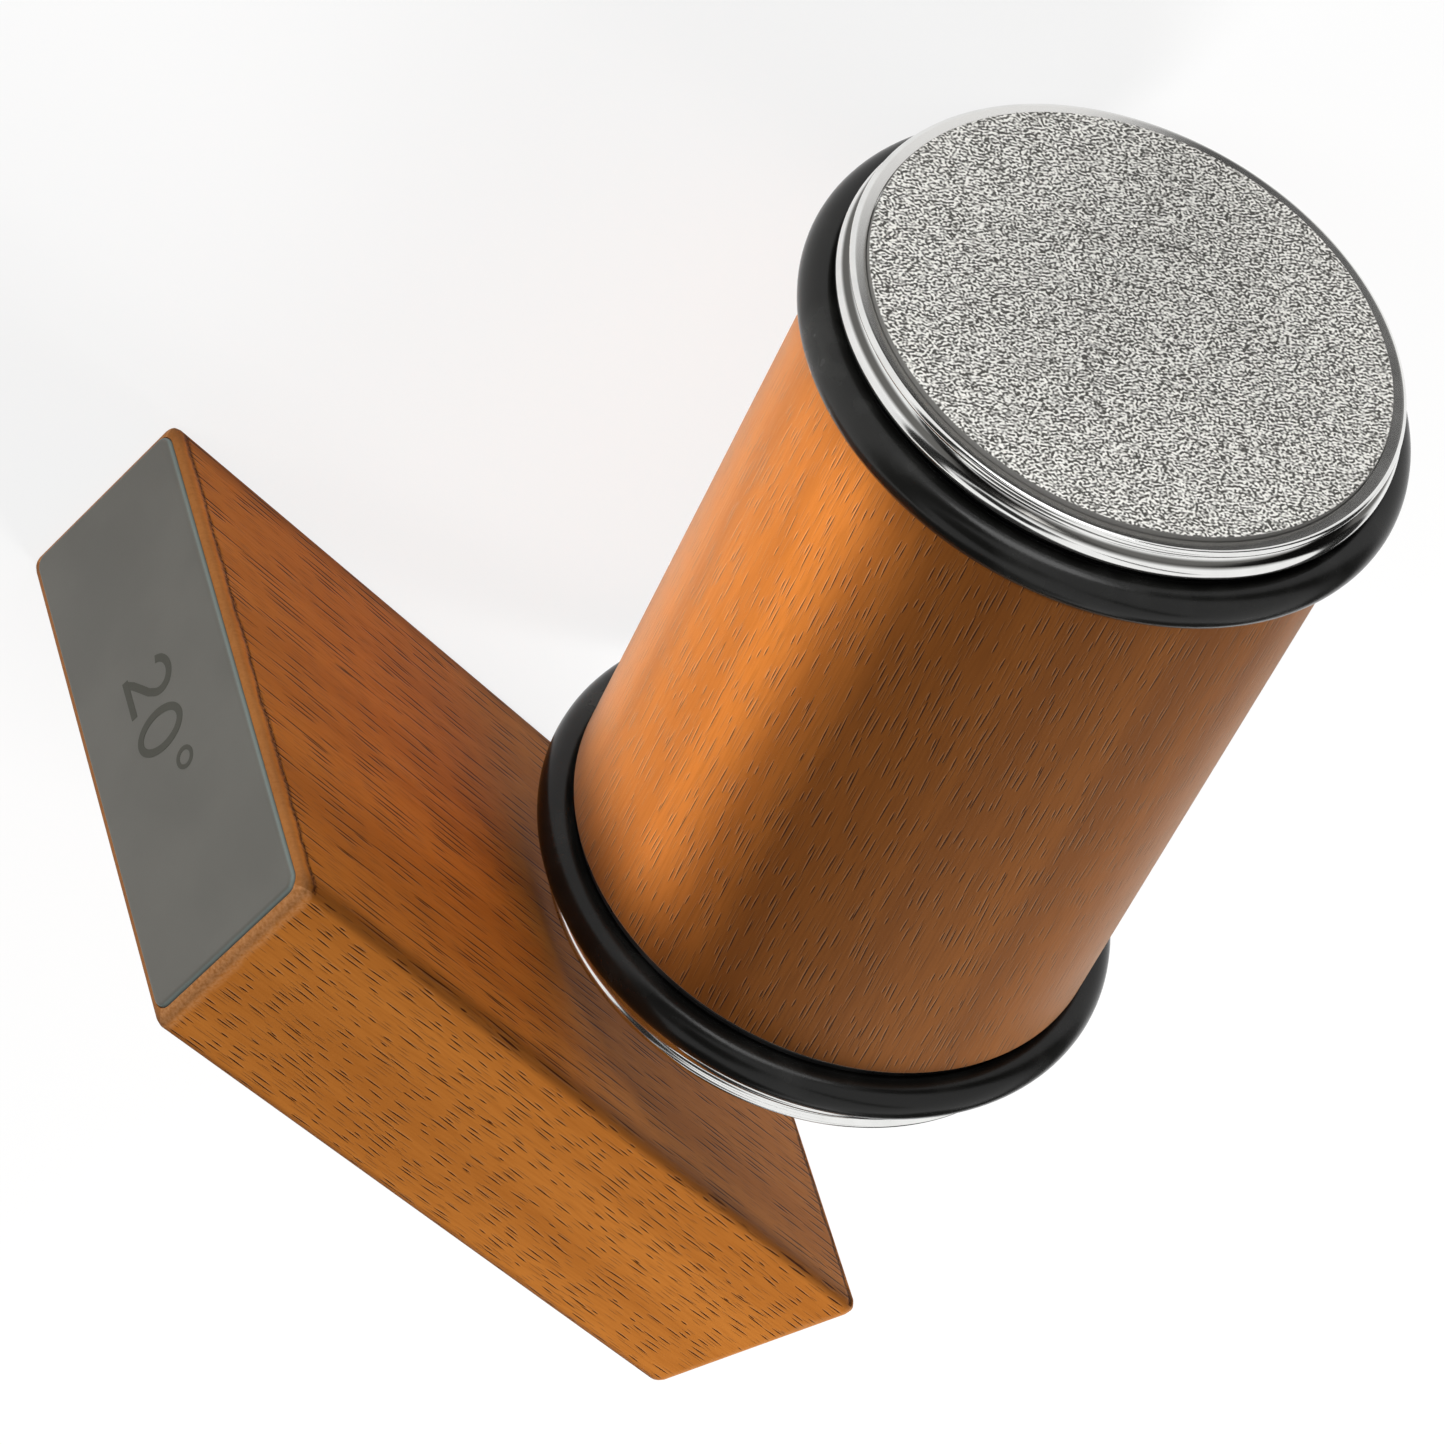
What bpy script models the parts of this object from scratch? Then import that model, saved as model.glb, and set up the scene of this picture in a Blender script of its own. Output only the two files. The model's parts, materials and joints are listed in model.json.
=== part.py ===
# Rolling knife sharpener: an angle block that holds a knife by magnets, and a roller with an
# abrasive disc at each end. The block lies on one long side and the roller stands on its tyres,
# both on the plane Z = 0. X runs along the block towards its 15 degree end, Y from the block's
# base towards its top and on to the roller. The origin is the middle of the face the block lies on.

import math

import bmesh
import bpy
from mathutils import Vector

# Shared values
SEAT_GAP = 0.0003          # between pieces that seat on each other
CUT_OVERRUN = 0.002        # how far a cutter runs past the face it opens

# Angle block
BLOCK_WIDTH = 0.054
BLOCK_HEIGHT = 0.021
BASE_LENGTH = 0.095
LOW_TILT = math.radians(15.0)
HIGH_TILT = math.radians(20.0)
EDGE_ROUND = 0.0012

# Plates, magnets and keeper bars at the block's two ends
PLATE_LIP = 0.0011         # wood left round a plate
PLATE_THICKNESS = 0.0015
PLATE_PROUD = 0.0004
PLATE_CORNER = 0.0012
PLATE_CHAMFER = 0.00025
MAGNET_RADIUS = 0.005
MAGNET_THICKNESS = 0.005
MAGNET_COUNT = 4
MAGNET_SPACING = 0.0115
KEEPER_THICKNESS = 0.002
KEEPER_OVERHANG = 0.0005

# Rubber pads in the block's base
PAD_WIDTH = 0.008
PAD_LENGTH = 0.044
PAD_THICKNESS = 0.0015
PAD_PROUD = 0.0004
PAD_INSET = 0.012          # from the base's end to the pad's near side

# Roller: where it stands beside the block
ROLLER_YAW = math.radians(41.4)
ROLLER_ALONG = -0.007
ROLLER_CLEARANCE = 0.0012

# Wooden sleeve and tyres
SLEEVE_RADIUS = 0.0268
SLEEVE_BORE = 0.014
SLEEVE_CHAMFER = 0.0004
TYRE_SECTION = 0.00215     # radius of the rubber's round section
TYRE_CENTRE = 0.0271       # radius of the circle the section is swept round
TRACK_HALF = 0.0369        # from the roller's middle to a tyre's plane

# Hubs
INNER_LIP_RADIUS = 0.0262
OUTER_LIP_RADIUS = 0.0256
INNER_LIP_WIDTH = 0.00054
OUTER_LIP_WIDTH = 0.00036
RIM_RADIUS = 0.0233
BOSS_RADIUS = 0.0058
HUB_WEB = 0.001

# Chrome rings
LOWER_BEAD = 0.00095
LOWER_BEAD_CENTRE = 0.026
UPPER_BEAD = 0.0008
UPPER_BEAD_CENTRE = 0.0254
BEAD_SPACING = 0.0017
RING_RISE = 0.00095        # from the upper bead's middle to the ring's top edge

# Discs
DISC_RADIUS = 0.025
DISC_THICKNESS = 0.0012
DISC_PROUD = 0.0004
DISC_CHAMFER = 0.00015

# Core tube, ball bearings and circlips
TUBE_BORE = 0.0095
BEARING_RADIUS = 0.011
BEARING_WIDTH = 0.007
BALL_RADIUS = 0.0019
BALL_COUNT = 7
PITCH_RADIUS = 0.0076
INNER_LAND = 0.0061
OUTER_LAND = 0.0091
CAGE_HALF_WIDTH = 0.0009
CAGE_HALF_HEIGHT = 0.0008
CIRCLIP_THICKNESS = 0.0009
CIRCLIP_DEPTH = 0.002
CIRCLIP_OPENING = math.radians(50.0)
TUBE_LAND = 0.0004         # left between the circlip's groove and the tube's end

# Axle, spacer, screws and washers
AXLE_RADIUS = 0.004
AXLE_CHAMFER = 0.0004
SCREW_RADIUS = 0.0022
SCREW_REACH = 0.008
SCREW_PLAY = 0.001         # left below the screw's tip
HEAD_RADIUS = 0.0047
HEAD_HEIGHT = 0.0021
SOCKET_RADIUS = 0.0016
SOCKET_DEPTH = 0.0012
HOLE_PLAY = 0.0006         # round the screw's shank in the hub and washer
WASHER_RADIUS = 0.0052
WASHER_THICKNESS = 0.001

# Facets round each turned piece
TYRE_SIDES = 48
RING_SIDES = 48
HUB_SIDES = 32
SLEEVE_SIDES = 48
TUBE_SIDES = 24
RACE_SIDES = 20
SMALL_SIDES = 16

# Places along the roller's axis, counted from its middle
groove_radius = TYRE_SECTION + SEAT_GAP
inner_lip_end = TRACK_HALF - math.sqrt(groove_radius ** 2 - (TYRE_CENTRE - INNER_LIP_RADIUS) ** 2)
outer_lip_start = TRACK_HALF + math.sqrt(groove_radius ** 2 - (TYRE_CENTRE - OUTER_LIP_RADIUS) ** 2)
hub_inner_face = inner_lip_end - INNER_LIP_WIDTH
hub_shoulder = outer_lip_start + OUTER_LIP_WIDTH
sleeve_half = hub_inner_face - SEAT_GAP
ring_back = hub_shoulder + SEAT_GAP
lower_bead_z = ring_back + LOWER_BEAD
upper_bead_z = lower_bead_z + BEAD_SPACING
ring_top = upper_bead_z + RING_RISE
disc_top = ring_top + DISC_PROUD
disc_back = disc_top - DISC_THICKNESS
hub_face = disc_back - SEAT_GAP
head_top = hub_face - SEAT_GAP
head_back = head_top - HEAD_HEIGHT
washer_top = head_back - SEAT_GAP
washer_back = washer_top - WASHER_THICKNESS
hub_floor = washer_back - SEAT_GAP
axle_half = hub_floor - HUB_WEB - SEAT_GAP
screw_tip = axle_half - SCREW_REACH
circlip_seat = CIRCLIP_THICKNESS + 2 * SEAT_GAP
bearing_face = sleeve_half - TUBE_LAND - circlip_seat
bearing_back = bearing_face - BEARING_WIDTH
bearing_middle = (bearing_face + bearing_back) / 2

# The roller's place: its rear disc's edge clears the block's top by ROLLER_CLEARANCE
tyre_radius = TYRE_CENTRE + TYRE_SECTION
roller_reach = disc_top * math.cos(ROLLER_YAW) + DISC_RADIUS * math.sin(ROLLER_YAW)
roller_across = BLOCK_HEIGHT / 2 + ROLLER_CLEARANCE + roller_reach


def clear_scene():
    for obj in list(bpy.data.objects):
        bpy.data.objects.remove(obj, do_unlink=True)


def make_material(name, colour, roughness, metallic):
    material = bpy.data.materials.new(name)
    material.use_nodes = True
    shader = material.node_tree.nodes["Principled BSDF"]
    shader.inputs["Base Color"].default_value = (*colour, 1.0)
    shader.inputs["Roughness"].default_value = roughness
    shader.inputs["Metallic"].default_value = metallic
    return material


def make_empty(name, place, turn, parent=None):
    empty = bpy.data.objects.new(name, None)
    bpy.context.scene.collection.objects.link(empty)
    empty.location = place
    empty.rotation_euler = turn
    empty.parent = parent
    return empty


def make_object(name, mesh, material, parent, place=(0, 0, 0)):
    obj = bpy.data.objects.new(name, mesh)
    bpy.context.scene.collection.objects.link(obj)
    if material is not None and not mesh.materials:
        mesh.materials.append(material)
    obj.parent = parent
    obj.location = place
    return obj


def finish_mesh(bm, name, smooth_angle=None):
    bmesh.ops.recalc_face_normals(bm, faces=bm.faces)
    mesh = bpy.data.meshes.new(name)
    bm.to_mesh(mesh)
    bm.free()
    if smooth_angle is not None:
        mesh.shade_smooth()
        mesh.set_sharp_from_angle(angle=smooth_angle)
    return mesh


def turned_mesh(name, profile, sides, on_axis=False):
    # Spins a profile of (radius, height) points round local Z. A profile that starts and ends on
    # the axis stays open, any other is closed into a ring.
    bm = bmesh.new()
    verts = [bm.verts.new((radius, 0, height)) for radius, height in profile]
    edges = [bm.edges.new(pair) for pair in zip(verts, verts[1:])]
    if not on_axis:
        edges.append(bm.edges.new((verts[-1], verts[0])))
    bmesh.ops.spin(bm, geom=verts + edges, cent=(0, 0, 0), axis=(0, 0, 1),
                   angle=math.tau, steps=sides, use_merge=True)
    bmesh.ops.remove_doubles(bm, verts=bm.verts, dist=SEAT_GAP / 1000)
    return finish_mesh(bm, name, math.radians(35))


def arc(centre_radius, centre_height, radius, start, end, steps):
    # Points of a circular arc in the profile's plane, from start to end in degrees.
    points = []
    for step in range(steps + 1):
        angle = math.radians(start + (end - start) * step / steps)
        points.append((centre_radius + radius * math.cos(angle),
                       centre_height + radius * math.sin(angle)))
    return points


def prism_mesh(name, outline, low, high):
    # Extrudes an outline in local X and Y from one height to another.
    bm = bmesh.new()
    face = bm.faces.new([bm.verts.new((x, y, low)) for x, y in outline])
    top = bmesh.ops.extrude_face_region(bm, geom=[face])
    lifted = [item for item in top["geom"] if isinstance(item, bmesh.types.BMVert)]
    bmesh.ops.translate(bm, verts=lifted, vec=(0, 0, high - low))
    return finish_mesh(bm, name)


def rounded_outline(width, height, radius, steps=3):
    points = []
    for corner, (side_x, side_y) in enumerate(((1, 1), (-1, 1), (-1, -1), (1, -1))):
        centre_x = side_x * (width / 2 - radius)
        centre_y = side_y * (height / 2 - radius)
        points += arc(centre_x, centre_y, radius, 90 * corner, 90 * corner + 90, steps)
    return points


def box_outline(width, height):
    return [(width / 2, height / 2), (-width / 2, height / 2),
            (-width / 2, -height / 2), (width / 2, -height / 2)]


def cylinder_mesh(name, radius, low, high, sides):
    bm = bmesh.new()
    bmesh.ops.create_cone(bm, cap_ends=True, segments=sides, radius1=radius, radius2=radius,
                          depth=high - low)
    bmesh.ops.translate(bm, verts=bm.verts, vec=(0, 0, (high + low) / 2))
    return finish_mesh(bm, name, math.radians(35))


def as_cutter(name, mesh, parent, place=(0, 0, 0)):
    cutter = make_object(name, mesh, None, parent, place)
    cutter.hide_render = True
    cutter.display_type = 'WIRE'
    return cutter


def combine(target, helper, operation):
    modifier = target.modifiers.new(helper.name, 'BOOLEAN')
    modifier.object = helper
    modifier.operation = operation
    modifier.solver = 'EXACT'


def add_bevel(obj, width, segments):
    bevel = obj.modifiers.new("Bevel", 'BEVEL')
    bevel.width = width
    bevel.segments = segments
    bevel.limit_method = 'ANGLE'
    return bevel


def block_body(block, wood):
    # Local frame of the block as it is used: base down, X along it, Z up.
    half = BASE_LENGTH / 2
    profile = [(-half, 0), (half, 0),
               (half + BLOCK_HEIGHT * math.tan(LOW_TILT), BLOCK_HEIGHT),
               (-half - BLOCK_HEIGHT * math.tan(HIGH_TILT), BLOCK_HEIGHT)]
    bm = bmesh.new()
    face = bm.faces.new([bm.verts.new((x, -BLOCK_WIDTH / 2, z)) for x, z in profile])
    side = bmesh.ops.extrude_face_region(bm, geom=[face])
    moved = [item for item in side["geom"] if isinstance(item, bmesh.types.BMVert)]
    bmesh.ops.translate(bm, verts=moved, vec=(0, BLOCK_WIDTH, 0))
    body = make_object("block_body", finish_mesh(bm, "block_body"), wood, block)
    add_bevel(body, EDGE_ROUND, 3)
    return body


def end_frame(block, name, side, tilt):
    # Frame on an end face: local X across the block, Y up the slope, Z out of the face.
    middle = side * (BASE_LENGTH / 2 + BLOCK_HEIGHT / 2 * math.tan(tilt))
    return make_empty(name, (middle, 0, BLOCK_HEIGHT / 2),
                      (math.pi / 2 + tilt, 0, side * math.pi / 2), block)


def block_end(block, body, side, tilt, mark, looks):
    frame = end_frame(block, "end_" + mark, side, tilt)
    plate_width = BLOCK_WIDTH - 2 * PLATE_LIP
    plate_height = BLOCK_HEIGHT / math.cos(tilt) - 2 * PLATE_LIP
    plate_back = PLATE_PROUD - PLATE_THICKNESS
    magnet_top = plate_back - SEAT_GAP
    magnet_back = magnet_top - MAGNET_THICKNESS
    keeper_top = magnet_back - SEAT_GAP
    keeper_back = keeper_top - KEEPER_THICKNESS
    keeper_width = (MAGNET_COUNT - 1) * MAGNET_SPACING + 2 * (MAGNET_RADIUS + KEEPER_OVERHANG)
    keeper_height = 2 * MAGNET_RADIUS

    outline = rounded_outline(plate_width, plate_height, PLATE_CORNER)
    plate = make_object("plate_" + mark, prism_mesh("plate_" + mark, outline, plate_back, PLATE_PROUD),
                        looks["plate"], frame)
    add_bevel(plate, PLATE_CHAMFER, 1)
    keeper = prism_mesh("keeper_bar_" + mark, box_outline(keeper_width, keeper_height),
                        keeper_back, keeper_top)
    make_object("keeper_bar_" + mark, keeper, looks["steel"], frame)
    magnet = cylinder_mesh("magnet_" + mark, MAGNET_RADIUS, magnet_back, magnet_top, SMALL_SIDES)
    for index in range(MAGNET_COUNT):
        offset = (index - (MAGNET_COUNT - 1) / 2) * MAGNET_SPACING
        make_object(f"magnet_{mark}_{index + 1}", magnet, looks["magnet"], frame, (offset, 0, 0))

    recess = rounded_outline(plate_width + 2 * SEAT_GAP, plate_height + 2 * SEAT_GAP,
                             PLATE_CORNER + SEAT_GAP)
    recess_cutter = as_cutter("recess_" + mark,
                              prism_mesh("recess_" + mark, recess, plate_back - SEAT_GAP, CUT_OVERRUN),
                              frame)
    pocket = box_outline(keeper_width + 2 * SEAT_GAP, keeper_height + 2 * SEAT_GAP)
    pocket_cutter = as_cutter("pocket_" + mark,
                              prism_mesh("pocket_" + mark, pocket, keeper_back - SEAT_GAP, CUT_OVERRUN),
                              frame)
    combine(body, recess_cutter, 'DIFFERENCE')
    combine(body, pocket_cutter, 'DIFFERENCE')


def base_pads(block, body, rubber):
    for name, side in (("base_pad_left", -1), ("base_pad_right", 1)):
        middle = side * (BASE_LENGTH / 2 - PAD_INSET - PAD_WIDTH / 2)
        pad = prism_mesh(name, box_outline(PAD_WIDTH, PAD_LENGTH), -PAD_PROUD,
                         PAD_THICKNESS - PAD_PROUD)
        make_object(name, pad, rubber, block, (middle, 0, 0))
        seat = box_outline(PAD_WIDTH + 2 * SEAT_GAP, PAD_LENGTH + 2 * SEAT_GAP)
        cutter = prism_mesh(name + "_seat", seat, -CUT_OVERRUN, PAD_THICKNESS - PAD_PROUD + SEAT_GAP)
        combine(body, as_cutter(name + "_seat", cutter, block, (middle, 0, 0)), 'DIFFERENCE')


def make_block(looks):
    # Turned so that the block's up is the part's +Y and it lies on its long side at Z = 0.
    block = make_empty("block_frame", (0, -BLOCK_HEIGHT / 2, BLOCK_WIDTH / 2), (-math.pi / 2, 0, 0))
    body = block_body(block, looks["wood"])
    block_end(block, body, -1, HIGH_TILT, "20", looks)
    block_end(block, body, 1, LOW_TILT, "15", looks)
    base_pads(block, body, looks["rubber"])


def sleeve_mesh():
    corner = SLEEVE_RADIUS - SLEEVE_CHAMFER
    chamfer_start = sleeve_half - SLEEVE_CHAMFER
    profile = [(SLEEVE_BORE, -sleeve_half), (corner, -sleeve_half), (SLEEVE_RADIUS, -chamfer_start),
               (SLEEVE_RADIUS, chamfer_start), (corner, sleeve_half), (SLEEVE_BORE, sleeve_half)]
    return turned_mesh("wood_sleeve", profile, SLEEVE_SIDES)


def tube_mesh():
    # A bearing seat, a circlip groove and a short land at each end, mirrored about the middle.
    outer = SLEEVE_BORE - SEAT_GAP
    seat = BEARING_RADIUS + SEAT_GAP
    groove = seat + 2 * SEAT_GAP
    half = [(TUBE_BORE, bearing_back - SEAT_GAP), (seat, bearing_back - SEAT_GAP), (seat, bearing_face),
            (groove, bearing_face), (groove, bearing_face + circlip_seat),
            (seat, bearing_face + circlip_seat), (seat, sleeve_half), (outer, sleeve_half)]
    mirrored = [(radius, -height) for radius, height in reversed(half)]
    return turned_mesh("core_tube", half + mirrored, TUBE_SIDES)


def axle_mesh():
    corner = AXLE_RADIUS - AXLE_CHAMFER
    chamfer_start = axle_half - AXLE_CHAMFER
    hole = SCREW_RADIUS + SEAT_GAP
    hole_end = screw_tip - SCREW_PLAY
    half = [(AXLE_RADIUS, chamfer_start), (corner, axle_half), (hole, axle_half), (hole, hole_end),
            (0, hole_end)]
    mirrored = [(radius, -height) for radius, height in reversed(half)]
    return turned_mesh("axle", mirrored + half, RACE_SIDES, on_axis=True)


def spacer_mesh():
    bore = AXLE_RADIUS + SEAT_GAP
    half = bearing_back - SEAT_GAP
    profile = [(bore, -half), (BOSS_RADIUS, -half), (BOSS_RADIUS, half), (bore, half)]
    return turned_mesh("bearing_spacer", profile, RACE_SIDES)


def tyre_mesh():
    section = arc(TYRE_CENTRE, TRACK_HALF, TYRE_SECTION, 0, 360, 10)[:-1]
    return turned_mesh("tyre", section, TYRE_SIDES)


def hub_mesh():
    # Boss against the inner race, lip, groove for the tyre, lip, rim for the ring, screw seat.
    start = math.degrees(math.atan2(inner_lip_end - TRACK_HALF, INNER_LIP_RADIUS - TYRE_CENTRE))
    end = math.degrees(math.atan2(outer_lip_start - TRACK_HALF, OUTER_LIP_RADIUS - TYRE_CENTRE))
    groove = arc(TYRE_CENTRE, TRACK_HALF, groove_radius, start + 360, end, 5)
    bore = AXLE_RADIUS + SEAT_GAP
    boss_end = bearing_face + SEAT_GAP
    seat = WASHER_RADIUS + SEAT_GAP
    hole = SCREW_RADIUS + HOLE_PLAY
    profile = [(bore, boss_end), (BOSS_RADIUS, boss_end), (BOSS_RADIUS, hub_inner_face),
               (INNER_LIP_RADIUS, hub_inner_face)]
    profile += groove
    profile += [(OUTER_LIP_RADIUS, hub_shoulder), (RIM_RADIUS, hub_shoulder), (RIM_RADIUS, hub_face),
                (seat, hub_face), (seat, hub_floor), (hole, hub_floor), (hole, axle_half + SEAT_GAP),
                (bore, axle_half + SEAT_GAP)]
    return turned_mesh("hub", profile, HUB_SIDES)


def ring_mesh():
    # Two beads outside, and a recess for the disc on a ledge inside.
    bore = RIM_RADIUS + SEAT_GAP
    recess = DISC_RADIUS + SEAT_GAP
    profile = [(bore, ring_back)]
    profile += arc(LOWER_BEAD_CENTRE, lower_bead_z, LOWER_BEAD, -90, 60, 5)
    profile += arc(UPPER_BEAD_CENTRE, upper_bead_z, UPPER_BEAD, -30, 75, 3)
    profile += [(recess, ring_top), (recess, hub_face), (bore, hub_face)]
    return turned_mesh("ring", profile, RING_SIDES)


def disc_mesh():
    edge = DISC_RADIUS - DISC_CHAMFER
    profile = [(0, disc_back), (DISC_RADIUS, disc_back), (DISC_RADIUS, disc_top - DISC_CHAMFER),
               (edge, disc_top), (0, disc_top)]
    return turned_mesh("disc", profile, RING_SIDES, on_axis=True)


def race_profile(land, wall, ball_side):
    # A race's section: flat lands, a ball track that clears the balls, and the outer wall.
    track = BALL_RADIUS + SEAT_GAP
    rise = math.sqrt(track ** 2 - (PITCH_RADIUS - land) ** 2)
    half_angle = math.degrees(math.atan2(rise, abs(PITCH_RADIUS - land)))
    middle_angle = 180 if ball_side > 0 else 0
    low, high = middle_angle - half_angle * ball_side, middle_angle + half_angle * ball_side
    points = arc(PITCH_RADIUS, bearing_middle, track, high, low, 4)
    if points[0][1] > points[-1][1]:
        points.reverse()
    return [(wall, bearing_back), (land, bearing_back)] + points + [(land, bearing_face),
                                                                     (wall, bearing_face)]


def inner_race_mesh():
    profile = race_profile(INNER_LAND, AXLE_RADIUS + SEAT_GAP, 1)
    return turned_mesh("inner_race", profile, RACE_SIDES)


def outer_race_mesh():
    profile = race_profile(OUTER_LAND, BEARING_RADIUS, -1)
    return turned_mesh("outer_race", profile, RACE_SIDES)


def cage_parts():
    # The cage's ring, and the balls as loose bodies that a union joins to it.
    inner, outer = PITCH_RADIUS - CAGE_HALF_WIDTH, PITCH_RADIUS + CAGE_HALF_WIDTH
    low, high = bearing_middle - CAGE_HALF_HEIGHT, bearing_middle + CAGE_HALF_HEIGHT
    ring = turned_mesh("cage", [(inner, low), (outer, low), (outer, high), (inner, high)], RACE_SIDES)
    bm = bmesh.new()
    for index in range(BALL_COUNT):
        angle = math.tau * index / BALL_COUNT
        ball = bmesh.ops.create_uvsphere(bm, u_segments=8, v_segments=6, radius=BALL_RADIUS)
        place = Vector((PITCH_RADIUS * math.cos(angle), PITCH_RADIUS * math.sin(angle), bearing_middle))
        bmesh.ops.translate(bm, verts=ball["verts"], vec=place)
    return ring, finish_mesh(bm, "balls", math.radians(80))


def circlip_mesh():
    # A spring ring with an opening, spun part of the way round from its section.
    seat = BEARING_RADIUS + 2 * SEAT_GAP
    low = bearing_face + SEAT_GAP
    high = low + CIRCLIP_THICKNESS
    section = [(seat - CIRCLIP_DEPTH, low), (seat, low), (seat, high), (seat - CIRCLIP_DEPTH, high)]
    bm = bmesh.new()
    face = bm.faces.new([bm.verts.new((radius, 0, height)) for radius, height in section])
    bmesh.ops.spin(bm, geom=[face], cent=(0, 0, 0), axis=(0, 0, 1),
                   angle=math.tau - CIRCLIP_OPENING, steps=RACE_SIDES)
    return finish_mesh(bm, "circlip", math.radians(35))


def screw_mesh():
    corner = HEAD_RADIUS - AXLE_CHAMFER
    profile = [(0, screw_tip), (SCREW_RADIUS, screw_tip), (SCREW_RADIUS, head_back),
               (HEAD_RADIUS, head_back), (HEAD_RADIUS, head_top - AXLE_CHAMFER), (corner, head_top),
               (0, head_top)]
    return turned_mesh("hub_screw", profile, SMALL_SIDES, on_axis=True)


def washer_mesh():
    hole = SCREW_RADIUS + HOLE_PLAY
    profile = [(hole, washer_back), (WASHER_RADIUS, washer_back), (WASHER_RADIUS, washer_top),
               (hole, washer_top)]
    return turned_mesh("washer", profile, SMALL_SIDES)


def make_roller(looks):
    # Local Z of the roller's frame is its axis, towards the abrasive end.
    middle = make_empty("roller_frame", (ROLLER_ALONG, roller_across, tyre_radius),
                        (-math.pi / 2, 0, ROLLER_YAW))
    make_object("wood_sleeve", sleeve_mesh(), looks["wood"], middle)
    make_object("core_tube", tube_mesh(), looks["aluminium"], middle)
    make_object("axle", axle_mesh(), looks["steel"], middle)
    make_object("bearing_spacer", spacer_mesh(), looks["steel"], middle)

    cage_ring, balls = cage_parts()
    shared = {
        "outer_race": (outer_race_mesh(), looks["steel"]),
        "inner_race": (inner_race_mesh(), looks["steel"]),
        "circlip": (circlip_mesh(), looks["steel"]),
        "hub": (hub_mesh(), looks["black"]),
        "tyre": (tyre_mesh(), looks["rubber"]),
        "bezel": (ring_mesh(), looks["chrome"]),
        "washer": (washer_mesh(), looks["steel"]),
    }
    disc = disc_mesh()
    screw = screw_mesh()
    socket = cylinder_mesh("socket", SOCKET_RADIUS, head_top - SOCKET_DEPTH, head_top + CUT_OVERRUN, 6)
    for end, turn, face in (("front", 0, looks["abrasive"]), ("rear", math.pi, looks["honing"])):
        frame = make_empty(end + "_end", (0, 0, 0), (turn, 0, 0), middle)
        for name, (mesh, material) in shared.items():
            make_object(f"{end}_{name}", mesh, material, frame)
        plate = make_object(end + "_disc", disc.copy(), face, frame)
        plate.data.name = end + "_disc"
        cage = make_object(end + "_ball_cage", cage_ring.copy(), looks["brass"], frame)
        combine(cage, as_cutter(end + "_balls", balls, frame), 'UNION')
        bolt = make_object(end + "_hub_screw", screw.copy(), looks["steel"], frame)
        combine(bolt, as_cutter(end + "_socket", socket, frame), 'DIFFERENCE')


def make_looks():
    return {
        "wood": make_material("beech", (0.34, 0.13, 0.035), 0.42, 0.0),
        "plate": make_material("grey_plate", (0.11, 0.11, 0.095), 0.45, 0.0),
        "magnet": make_material("magnet", (0.62, 0.62, 0.64), 0.3, 1.0),
        "steel": make_material("steel", (0.5, 0.5, 0.5), 0.35, 1.0),
        "chrome": make_material("chrome", (0.82, 0.82, 0.81), 0.06, 1.0),
        "aluminium": make_material("aluminium", (0.72, 0.72, 0.73), 0.35, 1.0),
        "brass": make_material("brass", (0.6, 0.43, 0.18), 0.35, 1.0),
        "rubber": make_material("rubber", (0.012, 0.012, 0.011), 0.5, 0.0),
        "black": make_material("black_plastic", (0.01, 0.01, 0.01), 0.3, 0.0),
        "abrasive": make_material("abrasive", (0.42, 0.41, 0.39), 0.5, 0.6),
        "honing": make_material("honing_steel", (0.55, 0.55, 0.54), 0.25, 1.0),
    }


clear_scene()
finishes = make_looks()
make_block(finishes)
make_roller(finishes)
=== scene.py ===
# Rolling knife sharpener, dressed: a wooden angle block with a steel plate at each end, and a wooden
# roller with two tyres, an abrasive disc in front and a honing disc behind.
# Sizes are in millimetres, unless a line says otherwise. Each piece is made in the block's or the
# roller's own frame and then moved to its place in its mesh, so that its object stays at the origin.

import json
from math import atan2, cos, degrees, hypot, pi, radians, sin, sqrt, tan, tau

import bmesh
import bpy
from mathutils import Matrix, Vector


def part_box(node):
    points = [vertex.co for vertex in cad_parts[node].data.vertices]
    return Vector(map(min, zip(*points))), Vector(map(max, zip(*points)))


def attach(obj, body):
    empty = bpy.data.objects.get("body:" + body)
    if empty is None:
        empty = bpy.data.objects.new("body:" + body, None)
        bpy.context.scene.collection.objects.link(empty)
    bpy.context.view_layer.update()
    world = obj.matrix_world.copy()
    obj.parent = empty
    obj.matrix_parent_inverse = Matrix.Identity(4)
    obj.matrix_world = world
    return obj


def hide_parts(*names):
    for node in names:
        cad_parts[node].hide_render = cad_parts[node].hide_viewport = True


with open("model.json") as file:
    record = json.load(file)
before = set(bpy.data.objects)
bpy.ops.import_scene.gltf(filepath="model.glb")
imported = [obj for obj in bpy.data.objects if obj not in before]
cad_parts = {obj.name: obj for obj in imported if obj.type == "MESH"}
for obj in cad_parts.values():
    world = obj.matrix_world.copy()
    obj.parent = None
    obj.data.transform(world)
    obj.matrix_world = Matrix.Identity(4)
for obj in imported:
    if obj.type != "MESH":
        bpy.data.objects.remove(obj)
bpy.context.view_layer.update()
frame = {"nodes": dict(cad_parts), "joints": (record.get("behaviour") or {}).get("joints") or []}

millimetre = 0.001
marks = ("20", "15")
rollerEnds = ("front", "rear")


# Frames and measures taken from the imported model
def frameMatrix(right, up, out, place):
    matrix = Matrix((right, up, out)).transposed().to_4x4()
    matrix.translation = place
    return matrix @ Matrix.Scale(millimetre, 4)


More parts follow.
